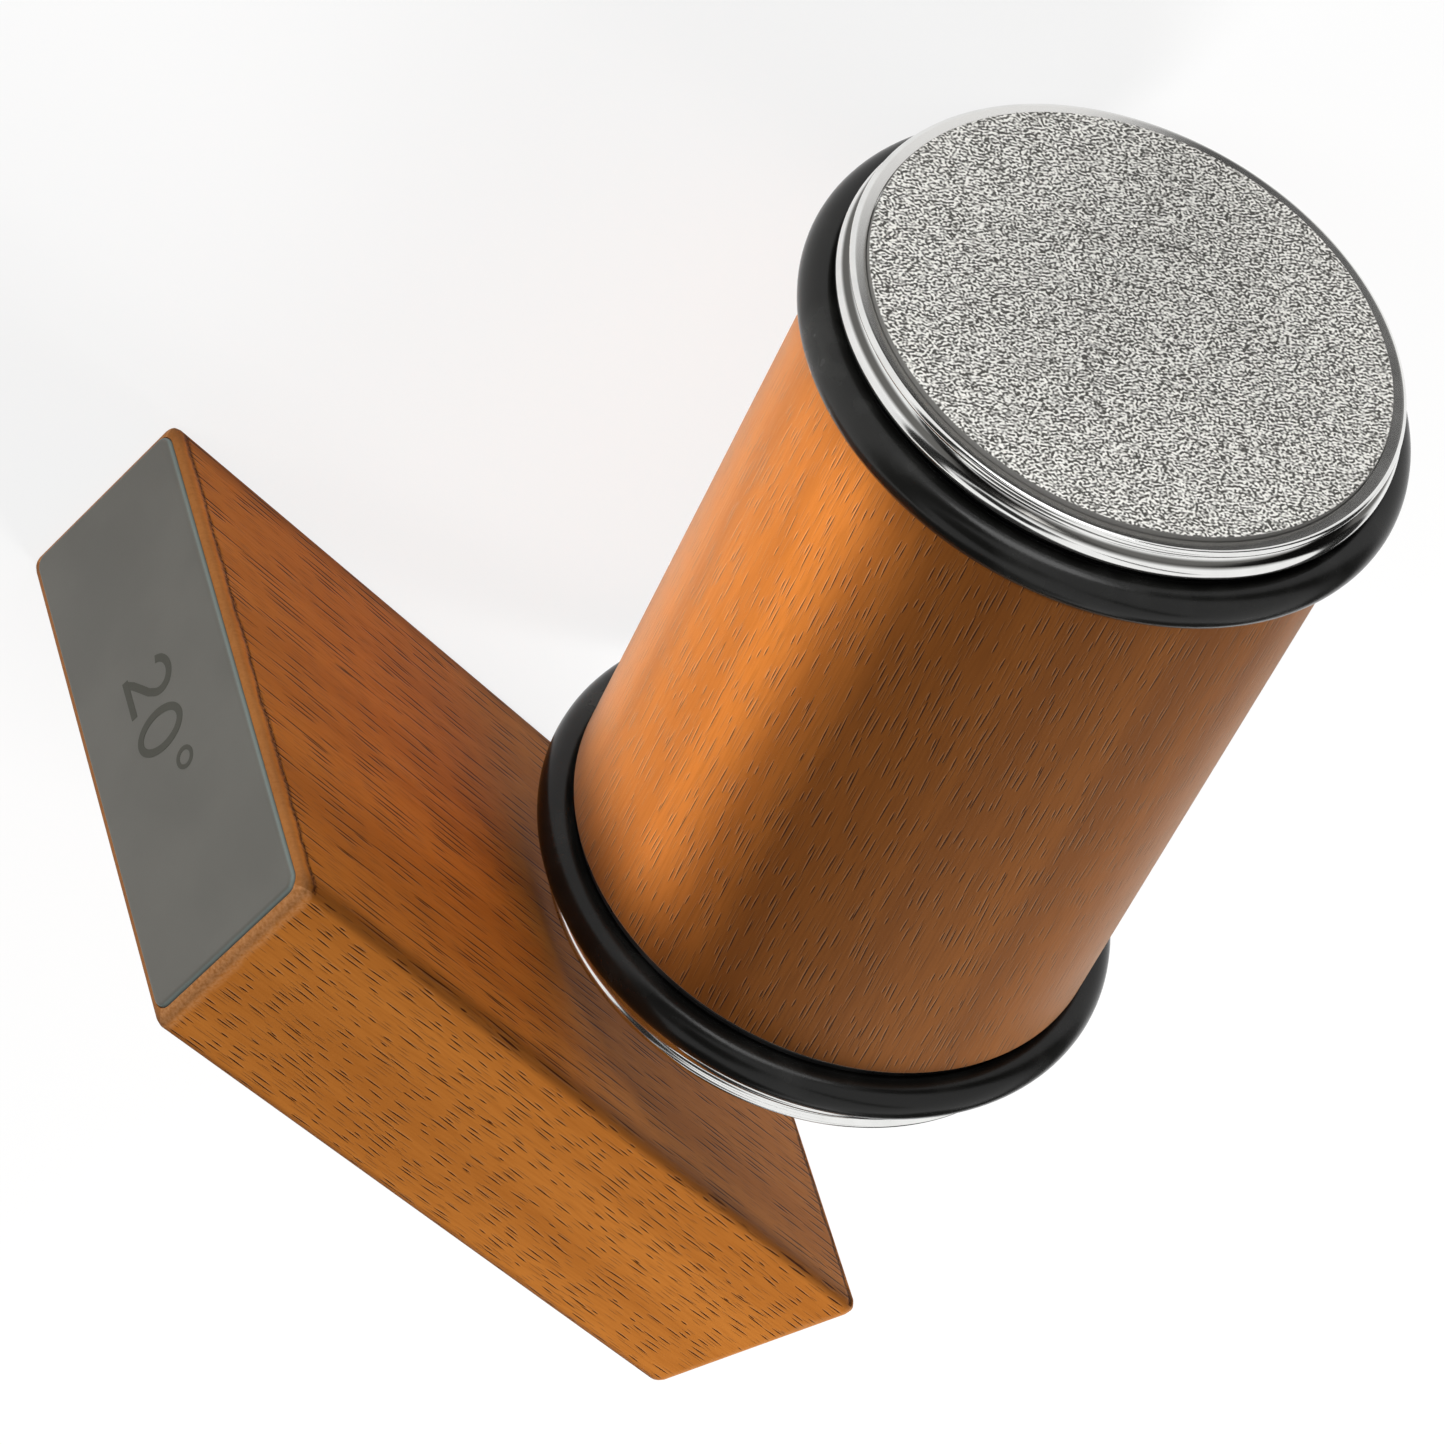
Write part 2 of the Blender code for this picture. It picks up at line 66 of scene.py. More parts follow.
joints = {joint["name"]: joint for joint in frame["joints"]}
rollerAxis = Vector(joints["wheel_spin"]["axis"]).normalized()
rollerMiddle = Vector(joints["wheel_spin"]["pos_m"])
skyward = Vector((0, 0, 1))
rollerFrame = frameMatrix(skyward, rollerAxis.cross(skyward), rollerAxis, rollerMiddle)
rollerPlace = (atan2(rollerAxis.y, rollerAxis.x), rollerMiddle)
blockPlace = (0.0, Vector((0, 0, 0)))


def turnedSpan(name):
    # A node's largest radius about the roller's axis, and its lowest and highest place along it.
    inward = rollerFrame.inverted()
    points = [inward @ vertex.co for vertex in frame["nodes"][name].data.vertices]
    heights = [point.z for point in points]
    return max(hypot(point.x, point.y) for point in points), min(heights), max(heights)


sleeveRadius, sleeveLow, sleeveHigh = turnedSpan("wood_sleeve")
discReach, discLow, discHigh = turnedSpan("front_disc")
tyreReach, tyreLow, tyreHigh = turnedSpan("front_tyre")
hubHigh = turnedSpan("front_hub")[2]
ringLow, ringHigh = turnedSpan("front_bezel")[1:]
ringSize = dict(
    lowerBead=0.98, lowerCentre=26.06, lowerEnd=60, lowerSteps=20,
    upperBead=0.42, upperCentre=26.10, upperStart=-25, upperSteps=14,
    neck=25.95,   # deepest point between the beads
    neckSteps=8,
    slopeDrop=0.15,   # how far the flat border inside the upper bead falls to the disc
    slopeShares=(0.15, 0.5, 0.88),
    bore=23.6, seam=0.08, corner=0.05,
    sunk=0.2,   # seat of the disc below its back
    sides=192, sharp=42.0,
)
blockLow, blockHigh = (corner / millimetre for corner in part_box("block_body"))
blockSize = dict(
    width=blockHigh.z - blockLow.z,
    height=blockHigh.y - blockLow.y,
    base=95.0,
    tilt={"20": radians(20.0), "15": radians(15.0)},
    side={"20": -1, "15": 1},
    round=1.3, roundSteps=6, sharp=35.0,
    seam=0.08,   # between a plate's edge and the wood
    lip=0.95,   # wood left round a plate
    recessDepth=1.3, recessCorner=1.4,
    cutReach=2.0,   # how far a cutter stands out of the wood
)


def endPlane(mark):
    # Middle of an end face, its outward normal and its uphill direction, in the block's frame.
    tilt, side = blockSize["tilt"][mark], blockSize["side"][mark]
    middle = Vector((side * (blockSize["base"] / 2 + blockSize["height"] / 2 * tan(tilt)), 0,
                     blockSize["width"] / 2))
    out = Vector((side * cos(tilt), -sin(tilt), 0))
    uphill = Vector((side * sin(tilt), cos(tilt), 0))
    return middle, out, uphill


def endFrame(mark):
    middle, out, uphill = endPlane(mark)
    return frameMatrix(uphill.cross(out), uphill, out, middle * millimetre)


# Node trees. Nodes are added to the tree that was opened last.
openTrees = []


def link(value, socket):
    openTrees[-1].links.new(value, socket)


def addNode(kind, inputs=None, **settings):
    made = openTrees[-1].nodes.new(kind)
    for key, value in settings.items():
        setattr(made, key, value)
    for key, value in (inputs or {}).items():
        socket = made.inputs[key]
        if isinstance(value, bpy.types.NodeSocket):
            link(value, socket)
        else:
            socket.default_value = (*value, 1.0) if socket.type == "RGBA" else value
    return made


def maths(operation, first, second=0.0, third=0.0, clamp=False):
    return addNode("ShaderNodeMath", {0: first, 1: second, 2: third}, operation=operation,
                   use_clamp=clamp).outputs[0]


def times(*factors):
    product = factors[0]
    for factor in factors[1:]:
        product = maths("MULTIPLY", product, factor)
    return product


def line(value, slope, start, clamp=False):
    return maths("MULTIPLY_ADD", value, slope, start, clamp)


def around(pattern, middle, spread):
    return line(pattern, spread, middle - spread / 2)


def fade(value, span, origin=0.0):
    # 0 at the span's first place and before, 1 at its second and after; the first may be the higher.
    start, end = span
    return addNode("ShaderNodeMapRange",
                   {"Value": value, "From Min": origin + start, "From Max": origin + end},
                   interpolation_type="SMOOTHSTEP").outputs["Result"]


def vectorMaths(operation, *vectors):
    return addNode("ShaderNodeVectorMath", dict(enumerate(vectors)), operation=operation).outputs


def vectorOf(*axes):
    return addNode("ShaderNodeCombineXYZ", dict(enumerate(axes))).outputs[0]


def axesOf(vector):
    return addNode("ShaderNodeSeparateXYZ", {0: vector}).outputs


def mixColour(colour, *layers):
    # Each layer is a share and the colour that it brings.
    for share, over in layers:
        colour = addNode("ShaderNodeMix", {0: share, 6: colour, 7: over}, data_type="RGBA").outputs[2]
    return colour


def tinted(colour, factor, lift=0.0):
    return tuple(factor * part + lift for part in colour)


def pieceSpace(place=blockPlace, cell=(1.0, 1.0, 1.0)):
    # Object coordinates in millimetres from the middle of a piece, turned about Z to lie along it,
    # and counted in cells.
    yaw, middle = place
    source = addNode("ShaderNodeTexCoord").outputs["Object"]
    shift = -(Matrix.Rotation(-yaw, 3, "Z") @ middle)
    centred = addNode("ShaderNodeMapping", {"Vector": source, "Rotation": (0, 0, -yaw), "Location": shift})
    scale = [1 / (millimetre * side) for side in cell]
    return addNode("ShaderNodeMapping", {"Vector": centred.outputs[0], "Scale": scale}).outputs[0]


def flatCells(along, across, cell):
    # Two lengths as a vector, counted in cells.
    return vectorOf(maths("DIVIDE", along, cell[0]), maths("DIVIDE", across, cell[1]))


def noise(vector, scale=1.0, detail=3.0):
    return addNode("ShaderNodeTexNoise", {"Vector": vector, "Scale": scale, "Detail": detail}).outputs[0]


def openTree(owner):
    owner.use_nodes = True
    openTrees.append(owner.node_tree)
    owner.node_tree.nodes.clear()
    return owner


def startMaterial(name, **sockets):
    material = openTree(bpy.data.materials.new(name))
    shader = addNode("ShaderNodeBsdfPrincipled")
    addNode("ShaderNodeOutputMaterial", {0: shader.outputs[0]})
    for key, value in sockets.items():
        shader.inputs[key.replace("_", " ")].default_value = value
    return material, shader


def dress(shader, colour, roughness, height):
    # The height is in millimetres.
    relief = addNode("ShaderNodeBump", {"Height": height, "Distance": millimetre}).outputs[0]
    for key, value in (("Base Color", colour), ("Roughness", roughness), ("Normal", relief)):
        link(value, shader.inputs[key])


# Wood
woodLook = dict(
    block=dict(warm=(0.49, 0.170, 0.028), deep=(0.35, 0.110, 0.016)),
    # the roller's beech is darker than the block's as painted shade for its turned face
    roller=dict(warm=(0.232, 0.074, 0.0110), deep=(0.155, 0.046, 0.006)),
    fleck=(0.040, 0.011, 0.0025), pale=(0.60, 0.30, 0.13),
    drift=1.0, driftCell=(38.0, 10.0),   # how far the grain wanders sideways
    bandCell=(120.0, 6.0), bandFade=(0.34, 0.68), bandShare=0.7,
    fibreCell=(7.0, 0.24), fibreFade=(0.42, 0.70), fibreShare=0.5, fibreHeight=0.02,
    fleckDepth=0.022, litShare=0.26,
    plainBorder=(0.9, 2.0),   # flecks begin this far from the block's ends
    faceShift=3,   # widths between the grain of its sides and of its base and top
    roughnessSpread=0.2,
)
fleckForm = dict(
    scatter=0.8, skew=0.5, thinnest=0.001, edge=(-4.0, 4.2),
    litShift=-1.5,   # from a fleck to its lit edge, in half widths
)
fleckLook = dict(
    # Size of a cell along and across the grain, share of cells with a fleck, its shortest and its
    # longest half length and its half width in cells, and how dark it is.
    long=dict(cell=(11.5, 0.78), keep=0.76, reach=(0.14, 0.49), half=0.125, dark=1.0),
    short=dict(cell=(4.8, 0.62), keep=0.70, reach=(0.12, 0.46), half=0.110, dark=1.0),
    faint=dict(cell=(4.4, 0.38), keep=0.70, reach=(0.16, 0.44), half=0.13, dark=0.42),
)
edgeWearAndLightLook = dict(
    edgeShadeSide=(3.4, 0.6), edgeShadeUpright=(1.3, 0.3), stainAndShadeShare=0.55,   # painted shade at the long edges
    grainCell=0.3, waveCell=2.5, ragged=1.2,
    endHighlightFade=(2.0, 1.0),   # painted highlight, a pale border on the rounded edge beside the plates
    endHighlightGrain=(0.1, 0.8), endHighlightOnTop=0.12, endHighlightOnSide=0.42,
    lip=(0.17, 0.072, 0.026), lipFade=(1.1, 0.5), lipShare=0.62,   # narrow border round a plate
    shadeLinePlace=1.75, shadeLineFade=(0.62, 0.0),   # painted shade, a dark line beside the plates
    shadeLineGrain=(0.25, 0.6), shadeLineShare=0.95, shadeLineDepth=0.2,
)


def fleckLayer(along, across, look):
    # One fleck to a cell, tapered to both ends and a little askew, and the lit edge beside it.
    cells = flatCells(along, across, look["cell"])
    spots = addNode("ShaderNodeTexVoronoi",
                    {"Vector": cells, "Scale": 1.0, "Randomness": fleckForm["scatter"]},
                    voronoi_dimensions="2D").outputs
    away = axesOf(vectorMaths("SUBTRACT", cells, spots["Position"])[0])
    chance = addNode("ShaderNodeSeparateColor", {0: spots["Color"]}).outputs
    shortest, longest = look["reach"]
    share = maths("DIVIDE", away[0], line(chance[1], longest - shortest, shortest))
    taper = line(times(share, share), -1.0, 1.0, clamp=True)
    askew = around(chance[2], 0.0, fleckForm["skew"])
    sideways = maths("MULTIPLY_ADD", away[0], askew, away[1])
    half = maths("MAXIMUM", times(taper, look["half"]), fleckForm["thinnest"])
    kept = maths("LESS_THAN", chance[0], look["keep"])
    strokes = []
    for shift in (0.0, fleckForm["litShift"] * look["half"]):
        offset = maths("ABSOLUTE", maths("ADD", sideways, shift))
        inside = line(maths("DIVIDE", offset, half), *fleckForm["edge"], clamp=True)
        strokes.append(times(kept, inside))
    return strokes


def edgeDistances():
    # How far a point of the block lies inside its long sides, its base and top, and its ends.
    point = pieceSpace()
    axes = axesOf(point)
    sideways = maths("MINIMUM", axes[2], line(axes[2], -1.0, blockSize["width"]))
    upright = line(maths("ABSOLUTE", axes[1]), -1.0, blockSize["height"] / 2)
    ends = []
    for mark in marks:
        middle, out, uphill = endPlane(mark)
        away = vectorMaths("SUBTRACT", point, middle)[0]
        ends.append(vectorMaths("DOT_PRODUCT", away, -out)["Value"])
    return sideways, upright, maths("MINIMUM", *ends)


def blockGrain():
    # Along the block and across the face that a point lies on. Its long sides show short flecks, and
    # its base and top long ones.
    axes = axesOf(pieceSpace())
    sideways, upright, ends = edgeDistances()
    onSide = maths("LESS_THAN", sideways, upright)
    away = maths("ADD", axes[1], woodLook["faceShift"] * blockSize["width"])
    across = addNode("ShaderNodeMix", {0: onSide, 2: axes[2], 3: away}).outputs[0]
    return axes[0], across, onSide


def rollerGrain():
    # Along the roller and round it, from its top both ways down to its underside.
    axes = axesOf(pieceSpace(rollerPlace))
    angle = maths("ARCTAN2", axes[1], axes[2])
    return axes[0], times(angle, sleeveRadius), 1.0


def woodMaterial(name, wood, onBlock, roughness, gloss, **coat):
    material, shader = startMaterial(name, Specular_IOR_Level=gloss, **coat)
    along, straight, shortShare = blockGrain() if onBlock else rollerGrain()
    drift = noise(flatCells(along, straight, woodLook["driftCell"]), detail=1.0)
    across = maths("MULTIPLY_ADD", drift, woodLook["drift"], straight)
    bands, fibres = (noise(flatCells(along, across, woodLook[key])) for key in ("bandCell", "fibreCell"))
    colour = mixColour(
        wood["warm"], (times(fade(bands, woodLook["bandFade"]), woodLook["bandShare"]), wood["deep"]),
        (times(fade(fibres, woodLook["fibreFade"]), woodLook["fibreShare"]), wood["deep"]))
    height = times(fibres, woodLook["fibreHeight"])
    inside = fade(edgeDistances()[2], woodLook["plainBorder"]) if onBlock else 1.0
    longShare = times(inside, line(shortShare, -1.0, 1.0))
    for key, share in (("faint", inside), ("long", longShare), ("short", times(inside, shortShare))):
        look = fleckLook[key]
        dark, lit = (times(stroke, share) for stroke in fleckLayer(along, across, look))
        colour = mixColour(colour, (times(lit, woodLook["litShare"] * look["dark"]), woodLook["pale"]),
                           (times(dark, look["dark"]), woodLook["fleck"]))
        height = maths("SUBTRACT", height, times(dark, woodLook["fleckDepth"] * look["dark"]))
    if onBlock:
        colour, height = addEdgeWearAndLight(colour, height, shortShare)
    dress(shader, colour, around(fibres, roughness, woodLook["roughnessSpread"]), height)
    return material


def addEdgeWearAndLight(colour, height, onSide):
    # Painted shade in the long edges, a pale border beside the plates on the long sides that is a painted
    # highlight on the rounded edge, and a dark ragged line of painted shade there across the base and top.
    look = edgeWearAndLightLook
    sideways, upright, ends = edgeDistances()
    grain, waves = (noise(pieceSpace(cell=(look[key],) * 3)) for key in ("grainCell", "waveCell"))
    raggedEnds = maths("ADD", ends, around(waves, 0.0, look["ragged"]))
    # painted shade: the long rounded edges darkened towards the fleck colour
    edgeShade = times(fade(sideways, look["edgeShadeSide"]), fade(upright, look["edgeShadeUpright"]),
                    look["stainAndShadeShare"])
    lip = times(fade(ends, look["lipFade"]), look["lipShare"])
    # painted highlight: a pale grainy border on the rounded edge beside the plates
    endHighlight = times(fade(raggedEnds, look["endHighlightFade"]),
                   line(onSide, look["endHighlightOnSide"], look["endHighlightOnTop"]), fade(grain, look["endHighlightGrain"]))
    # painted shade: a dark ragged line beside the plates on the base and top, dug in a little
    away = maths("ABSOLUTE", line(raggedEnds, 1.0, -look["shadeLinePlace"]))
    shadeLine = times(fade(away, look["shadeLineFade"]), line(onSide, -1.0, 1.0), fade(grain, look["shadeLineGrain"]))
    colour = mixColour(colour, (edgeShade, woodLook["fleck"]), (lip, look["lip"]),
                       (endHighlight, woodLook["pale"]), (times(shadeLine, look["shadeLineShare"]), woodLook["fleck"]))
    return colour, maths("SUBTRACT", height, times(shadeLine, look["shadeLineDepth"]))


# Paint, metal, rubber and plastic
paintLook = dict(
    gloss=0.35, cloudScale=0.09, cloudFade=(0.3, 0.7), cloudTint=1.14,
    grainScale=7.0, grainHeight=0.006, spread=0.16,
    plateGlintFade=(-0.30, -0.12), plateGlintGrain=0.1,
)


def paintMaterial(name, colour, roughness, wearAndEdgeHighlight=None):
    look = paintLook
    material, shader = startMaterial(name, Specular_IOR_Level=look["gloss"])
    point = pieceSpace()
    cloud = noise(point, look["cloudScale"])
    grain = noise(point, look["grainScale"], 2.0)
    tone = mixColour(colour, (fade(cloud, look["cloudFade"]), tinted(colour, look["cloudTint"])))
    if wearAndEdgeHighlight:
        # The face of a plate stands proud of the end plane, and its rounded edge runs down to it.
        # painted highlight: the plate's rounded edge is drawn lighter and bluer
        below = maths("MULTIPLY_ADD", grain, look["plateGlintGrain"], edgeDistances()[2])
        tone = mixColour(tone, (fade(below, look["plateGlintFade"]), wearAndEdgeHighlight))
    dress(shader, tone, around(grain, roughness, look["spread"]), times(grain, look["grainHeight"]))
    return material


metalLook = dict(wornTint=0.82, lineFade=(0.35, 0.75), lineHeight=0.0012, stainScale=0.12, stainAndShadeShare=0.3)


def metalMaterial(name, colour, roughness, place, cell, spread=0.12):
    # Fine machining lines, long across the cells' short side.
    look = metalLook
    material, shader = startMaterial(name, Metallic=1.0)
    lines = noise(pieceSpace(place, cell))
    stain = noise(pieceSpace(), look["stainScale"])
    wearAndEdgeHighlight = tinted(colour, look["wornTint"])
    tone = mixColour(colour, (fade(lines, look["lineFade"]), wearAndEdgeHighlight), (times(stain, look["stainAndShadeShare"]), wearAndEdgeHighlight))
    dress(shader, tone, around(lines, roughness, spread), times(lines, look["lineHeight"]))
    return material


chromeLook = dict(
    bright=(0.86, 0.86, 0.845), dull=(0.80, 0.80, 0.785), dullFade=(0.3, 0.75),
    border=(0.82, 0.81, 0.79),   # flat border inside the beads, brushed
    borderEdge=(0.05, -0.12), borderTop=(-0.5, -0.3), borderRoughness=0.12,
    groove=(0.135, 0.132, 0.124),   # painted shade between the beads
    grooveShadeLift=0.10, grooveShadeFade=(0.34, 0.10), grooveShadeEdge=(-0.25, -0.15),
    foot=(0.10, 0.098, 0.092),   # painted shade under the lower bead
    footShadeFade=(0.80, 0.45),
    hazeScale=0.35, speckScale=5.0, speckHeight=0.0002, roughness=0.13, spread=0.08,
)


def chromeMaterial(name):
    look = chromeLook
    material, shader = startMaterial(name, Metallic=1.0)
    point = pieceSpace(rollerPlace)
    haze = noise(pieceSpace(), look["hazeScale"], 4.0)
    specks = noise(pieceSpace(), look["speckScale"], 2.0)
    height = maths("ABSOLUTE", axesOf(point)[0])
    away = rollerDistance(point)
    border = times(fade(away, look["borderEdge"], ringSize["upperCentre"]),
                   fade(height, look["borderTop"], ringHigh))
    # painted shade in the groove between the beads, placed from the top of the lower bead
    beadTop = ringLow + ringSize["lowerBead"] * (1 + sin(radians(ringSize["lowerEnd"])))
    fromMiddle = maths("ABSOLUTE", line(height, 1.0, -beadTop - look["grooveShadeLift"]))
    hollow = times(fade(fromMiddle, look["grooveShadeFade"]), fade(away, look["grooveShadeEdge"], ringSize["neck"]))
    # the last layer is painted shade under the lower bead
    tone = mixColour(look["bright"], (fade(haze, look["dullFade"]), look["dull"]),
                     (border, look["border"]), (hollow, look["groove"]),
                     (fade(height, look["footShadeFade"], ringLow), look["foot"]))
    roughness = maths("MULTIPLY_ADD", border, look["borderRoughness"],
                      around(haze, look["roughness"], look["spread"]))
    dress(shader, tone, roughness, times(specks, look["speckHeight"]))
    return material


def rollerDistance(point):
    # Distance from the roller's axis.
    across = vectorMaths("MULTIPLY", point, (0.0, 1.0, 1.0))[0]
    return vectorMaths("LENGTH", across)["Value"]


rubberLook = dict(dustScale=0.2, dustFade=(0.45, 0.8), dustTint=1.8, dustLift=0.004, spread=0.2)


def rubberMaterial(name, colour, roughness, grainSize, depth, gloss):
    look = rubberLook
    material, shader = startMaterial(name, Specular_IOR_Level=gloss)
    grain = noise(pieceSpace(cell=(grainSize,) * 3))
    dust = noise(pieceSpace(), look["dustScale"], 4.0)
    dusty = tinted(colour, look["dustTint"], look["dustLift"])
    dress(shader, mixColour(colour, (fade(dust, look["dustFade"]), dusty)),
          around(dust, roughness, look["spread"]), times(grain, depth))
    return material


abrasiveLook = dict(
    dark=(0.075, 0.072, 0.064), light=(0.98, 0.965, 0.92), fade=(0.40, 0.61),
    stripe=0.40,   # width of one dark and one light stripe
    turns=1.4,   # stripes side by side in one patch
    stripeShare=0.75, speckScale=2.4, metallic=0.35,
    rim=(0.20, 0.196, 0.186), rimFade=(-0.10, -0.02),   # edge without grit
    roughness=0.62, roughnessSlope=-0.2, height=0.05,
)


def abrasiveMaterial(name):
    # Short bright and dark worms in every direction, as packed grit shows under raking light.
    look = abrasiveLook
    material, shader = startMaterial(name, Metallic=look["metallic"])
    point = pieceSpace(rollerPlace)
    worms = addNode("ShaderNodeTexGabor",
                    {"Vector": point, "Scale": 1 / (look["stripe"] * look["turns"]),
                     "Frequency": look["turns"], "Anisotropy": 0.0}, gabor_type="3D")
    specks = noise(point, look["speckScale"])
    pattern = maths("MULTIPLY_ADD", worms.outputs["Value"], look["stripeShare"],
                    times(specks, 1 - look["stripeShare"]))
    bare = fade(rollerDistance(point), look["rimFade"], discReach)
    tone = mixColour(look["dark"], (fade(pattern, look["fade"]), look["light"]), (bare, look["rim"]))
    pattern = times(pattern, line(bare, -1.0, 1.0))
    dress(shader, tone, line(pattern, look["roughnessSlope"], look["roughness"]),
          times(pattern, look["height"]))
    return material


beechAlong = woodMaterial("beechBlock", woodLook["block"], True, 0.60, 0.05)
beechTurned = woodMaterial("beechTurned", woodLook["roller"], False, 0.52, 0.12, Sheen_Weight=0.33,
                           Sheen_Roughness=0.36, Sheen_Tint=(1.0, 0.86, 0.68, 1.0))
# its last colour is a painted highlight on the plates' rounded edges
greyPaint = paintMaterial("greyPaint", (0.099, 0.0955, 0.084), 0.50, (0.150, 0.180, 0.168))
markPaint = paintMaterial("markPaint", (0.042, 0.041, 0.031), 0.5)
chrome = chromeMaterial("chrome")
tyreRubber = rubberMaterial("tyreRubber", (0.0065, 0.0065, 0.006), 0.24, 0.25, 0.006, 0.27)
padRubber = rubberMaterial("padRubber", (0.018, 0.018, 0.017), 0.62, 0.4, 0.02, 0.28)
hubPlastic = rubberMaterial("hubPlastic", (0.011, 0.011, 0.011), 0.28, 0.5, 0.003, 0.28)
abrasive = abrasiveMaterial("abrasive")
honingSteel = metalMaterial("honingSteel", (0.56, 0.555, 0.54), 0.24, rollerPlace, (1.2, 0.05, 0.05), 0.1)
turnedSteel = metalMaterial("turnedSteel", (0.52, 0.515, 0.50), 0.32, rollerPlace, (0.05, 3.0, 3.0))
flatSteel = metalMaterial("flatSteel", (0.46, 0.455, 0.45), 0.38, blockPlace, (5.0, 5.0, 0.05))
nickel = metalMaterial("nickel", (0.66, 0.65, 0.62), 0.22, blockPlace, (0.4, 0.4, 0.4), 0.16)
turnedAluminium = metalMaterial("turnedAluminium", (0.74, 0.745, 0.75), 0.34, rollerPlace, (0.08, 4.0, 4.0))
brass = metalMaterial("brass", (0.62, 0.43, 0.17), 0.3, rollerPlace, (0.1, 1.0, 1.0))
print("materials made")


# Objects and meshes
def addObject(name, data):
    made = bpy.data.objects.new(name, data)
    bpy.context.scene.collection.objects.link(made)
    return made


def finishPiece(name, mesh, place, body, slot, *replaced):
    mesh.transform(place)
    mesh.name = name
    piece = addObject(name, mesh)
    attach(piece, body)
    if replaced:
        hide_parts(*replaced)


def evaluatedMesh(item):
    bpy.context.view_layer.update()
    return bpy.data.meshes.new_from_object(item.evaluated_get(bpy.context.evaluated_depsgraph_get()))


def settle(bm, mesh, sharpAngle):
    # Joins corners that meet, turns all faces outwards and keeps edges above the angle sharp.
    bmesh.ops.remove_doubles(bm, verts=bm.verts, dist=0.0005)
    bmesh.ops.recalc_face_normals(bm, faces=bm.faces)
    bm.to_mesh(mesh)
    bm.free()
    mesh.shade_smooth()
    mesh.set_sharp_from_angle(angle=radians(sharpAngle))
    return mesh


def meshFrom(bm, material, sharpAngle=40.0):
    mesh = bpy.data.meshes.new("piece")
    mesh.materials.append(material)
    return settle(bm, mesh, sharpAngle)


def outwardMesh(mesh, sharpAngle):
    bm = bmesh.new()
    bm.from_mesh(mesh)
    return settle(bm, mesh, sharpAngle)


def arc(centreRadius, centreHeight, radius, start, end, steps):
    points = []
    for step in range(steps + 1):
        angle = radians(start + (end - start) * step / steps)
        points.append((centreRadius + radius * cos(angle), centreHeight + radius * sin(angle)))
    return points


def turned(profile, sides, closed=True):
    bm = bmesh.new()
    verts = [bm.verts.new((radius, 0, height)) for radius, height in profile]
    edges = [bm.edges.new(pair) for pair in zip(verts, verts[1:])]
    if closed:
        edges.append(bm.edges.new((verts[-1], verts[0])))
    bmesh.ops.spin(bm, geom=verts + edges, cent=(0, 0, 0), axis=(0, 0, 1), angle=tau, steps=sides,
                   use_merge=True)
    return bm


def roundedBox(width, height, radius, steps=8):
    points = []
    for turn, (sideX, sideY) in enumerate(((1, 1), (-1, 1), (-1, -1), (1, -1))):
        points += arc(sideX * (width / 2 - radius), sideY * (height / 2 - radius), radius, 90 * turn,
                      90 * turn + 90, steps)
    return points


def addWall(bm, lower, upper):
    # Faces between two closed rings of corners.
    for index in range(len(lower)):
        following = (index + 1) % len(lower)
        bm.faces.new((lower[index], lower[following], upper[following], upper[index]))


def slab(outline, low, high, edge=0.0, steps=3):
    # A plate over an outline, with its upper edge rounded by insets of the outline.
    bm = bmesh.new()
    turns = [pi / 2 * step / steps for step in range(1, steps + 1)] if edge else [0.0]
    rings = [(0.0, low), (0.0, high - edge)]
    rings += [(edge * (1 - cos(turn)), high - edge + edge * sin(turn)) for turn in turns]
    loops = [[bm.verts.new((*point, height)) for point in insetOutline(outline, inset)]
             for inset, height in rings]
    for lower, upper in zip(loops, loops[1:]):
        addWall(bm, lower, upper)
    bm.faces.new(list(reversed(loops[0])))
    bm.faces.new(loops[-1])
    return bm


def insetOutline(outline, inset):
    if not inset:
        return outline
    moved = []
    count = len(outline)
    for index in range(count):
        before, here, after = (Vector(outline[near % count]) for near in (index - 1, index, index + 1))
        along = (after - before).normalized()
        moved.append(tuple(here + Vector((-along.y, along.x)) * inset))
    return moved


# Geometry Nodes
def startTree(name, values):
    # One named input for each value.
    tree = bpy.data.node_groups.new(name, "GeometryNodeTree")
    openTrees.append(tree)
    tree.interface.new_socket("Geometry", in_out="OUTPUT", socket_type="NodeSocketGeometry")
    for label, value in values.items():
        kind = {float: "Float", int: "Int"}.get(type(value), "Material")
        socket = tree.interface.new_socket(label, in_out="INPUT", socket_type="NodeSocket" + kind)
        socket.default_value = value
    return tree.nodes.new("NodeGroupInput").outputs


def endTree(geometry, material):
    smooth = addNode("GeometryNodeSetShadeSmooth", {0: geometry})
    plain = addNode("GeometryNodeRealizeInstances", {0: smooth.outputs[0]})
    dressed = addNode("GeometryNodeSetMaterial", {0: plain.outputs[0], "Material": material})
    addNode("NodeGroupOutput", {0: dressed.outputs[0]})
    return openTrees[-1]


def growMesh(tree, values):
    # Runs a tree on an empty mesh and returns its result as a plain mesh.
    holder = addObject(tree.name, bpy.data.meshes.new(tree.name))
    modifier = holder.modifiers.new(tree.name, "NODES")
    modifier.node_group = tree
    for socket in tree.interface.items_tree:
        if socket.in_out == "INPUT":
            modifier[socket.identifier] = values[socket.name]
    mesh = evaluatedMesh(holder)
    bpy.data.objects.remove(holder)
    return mesh


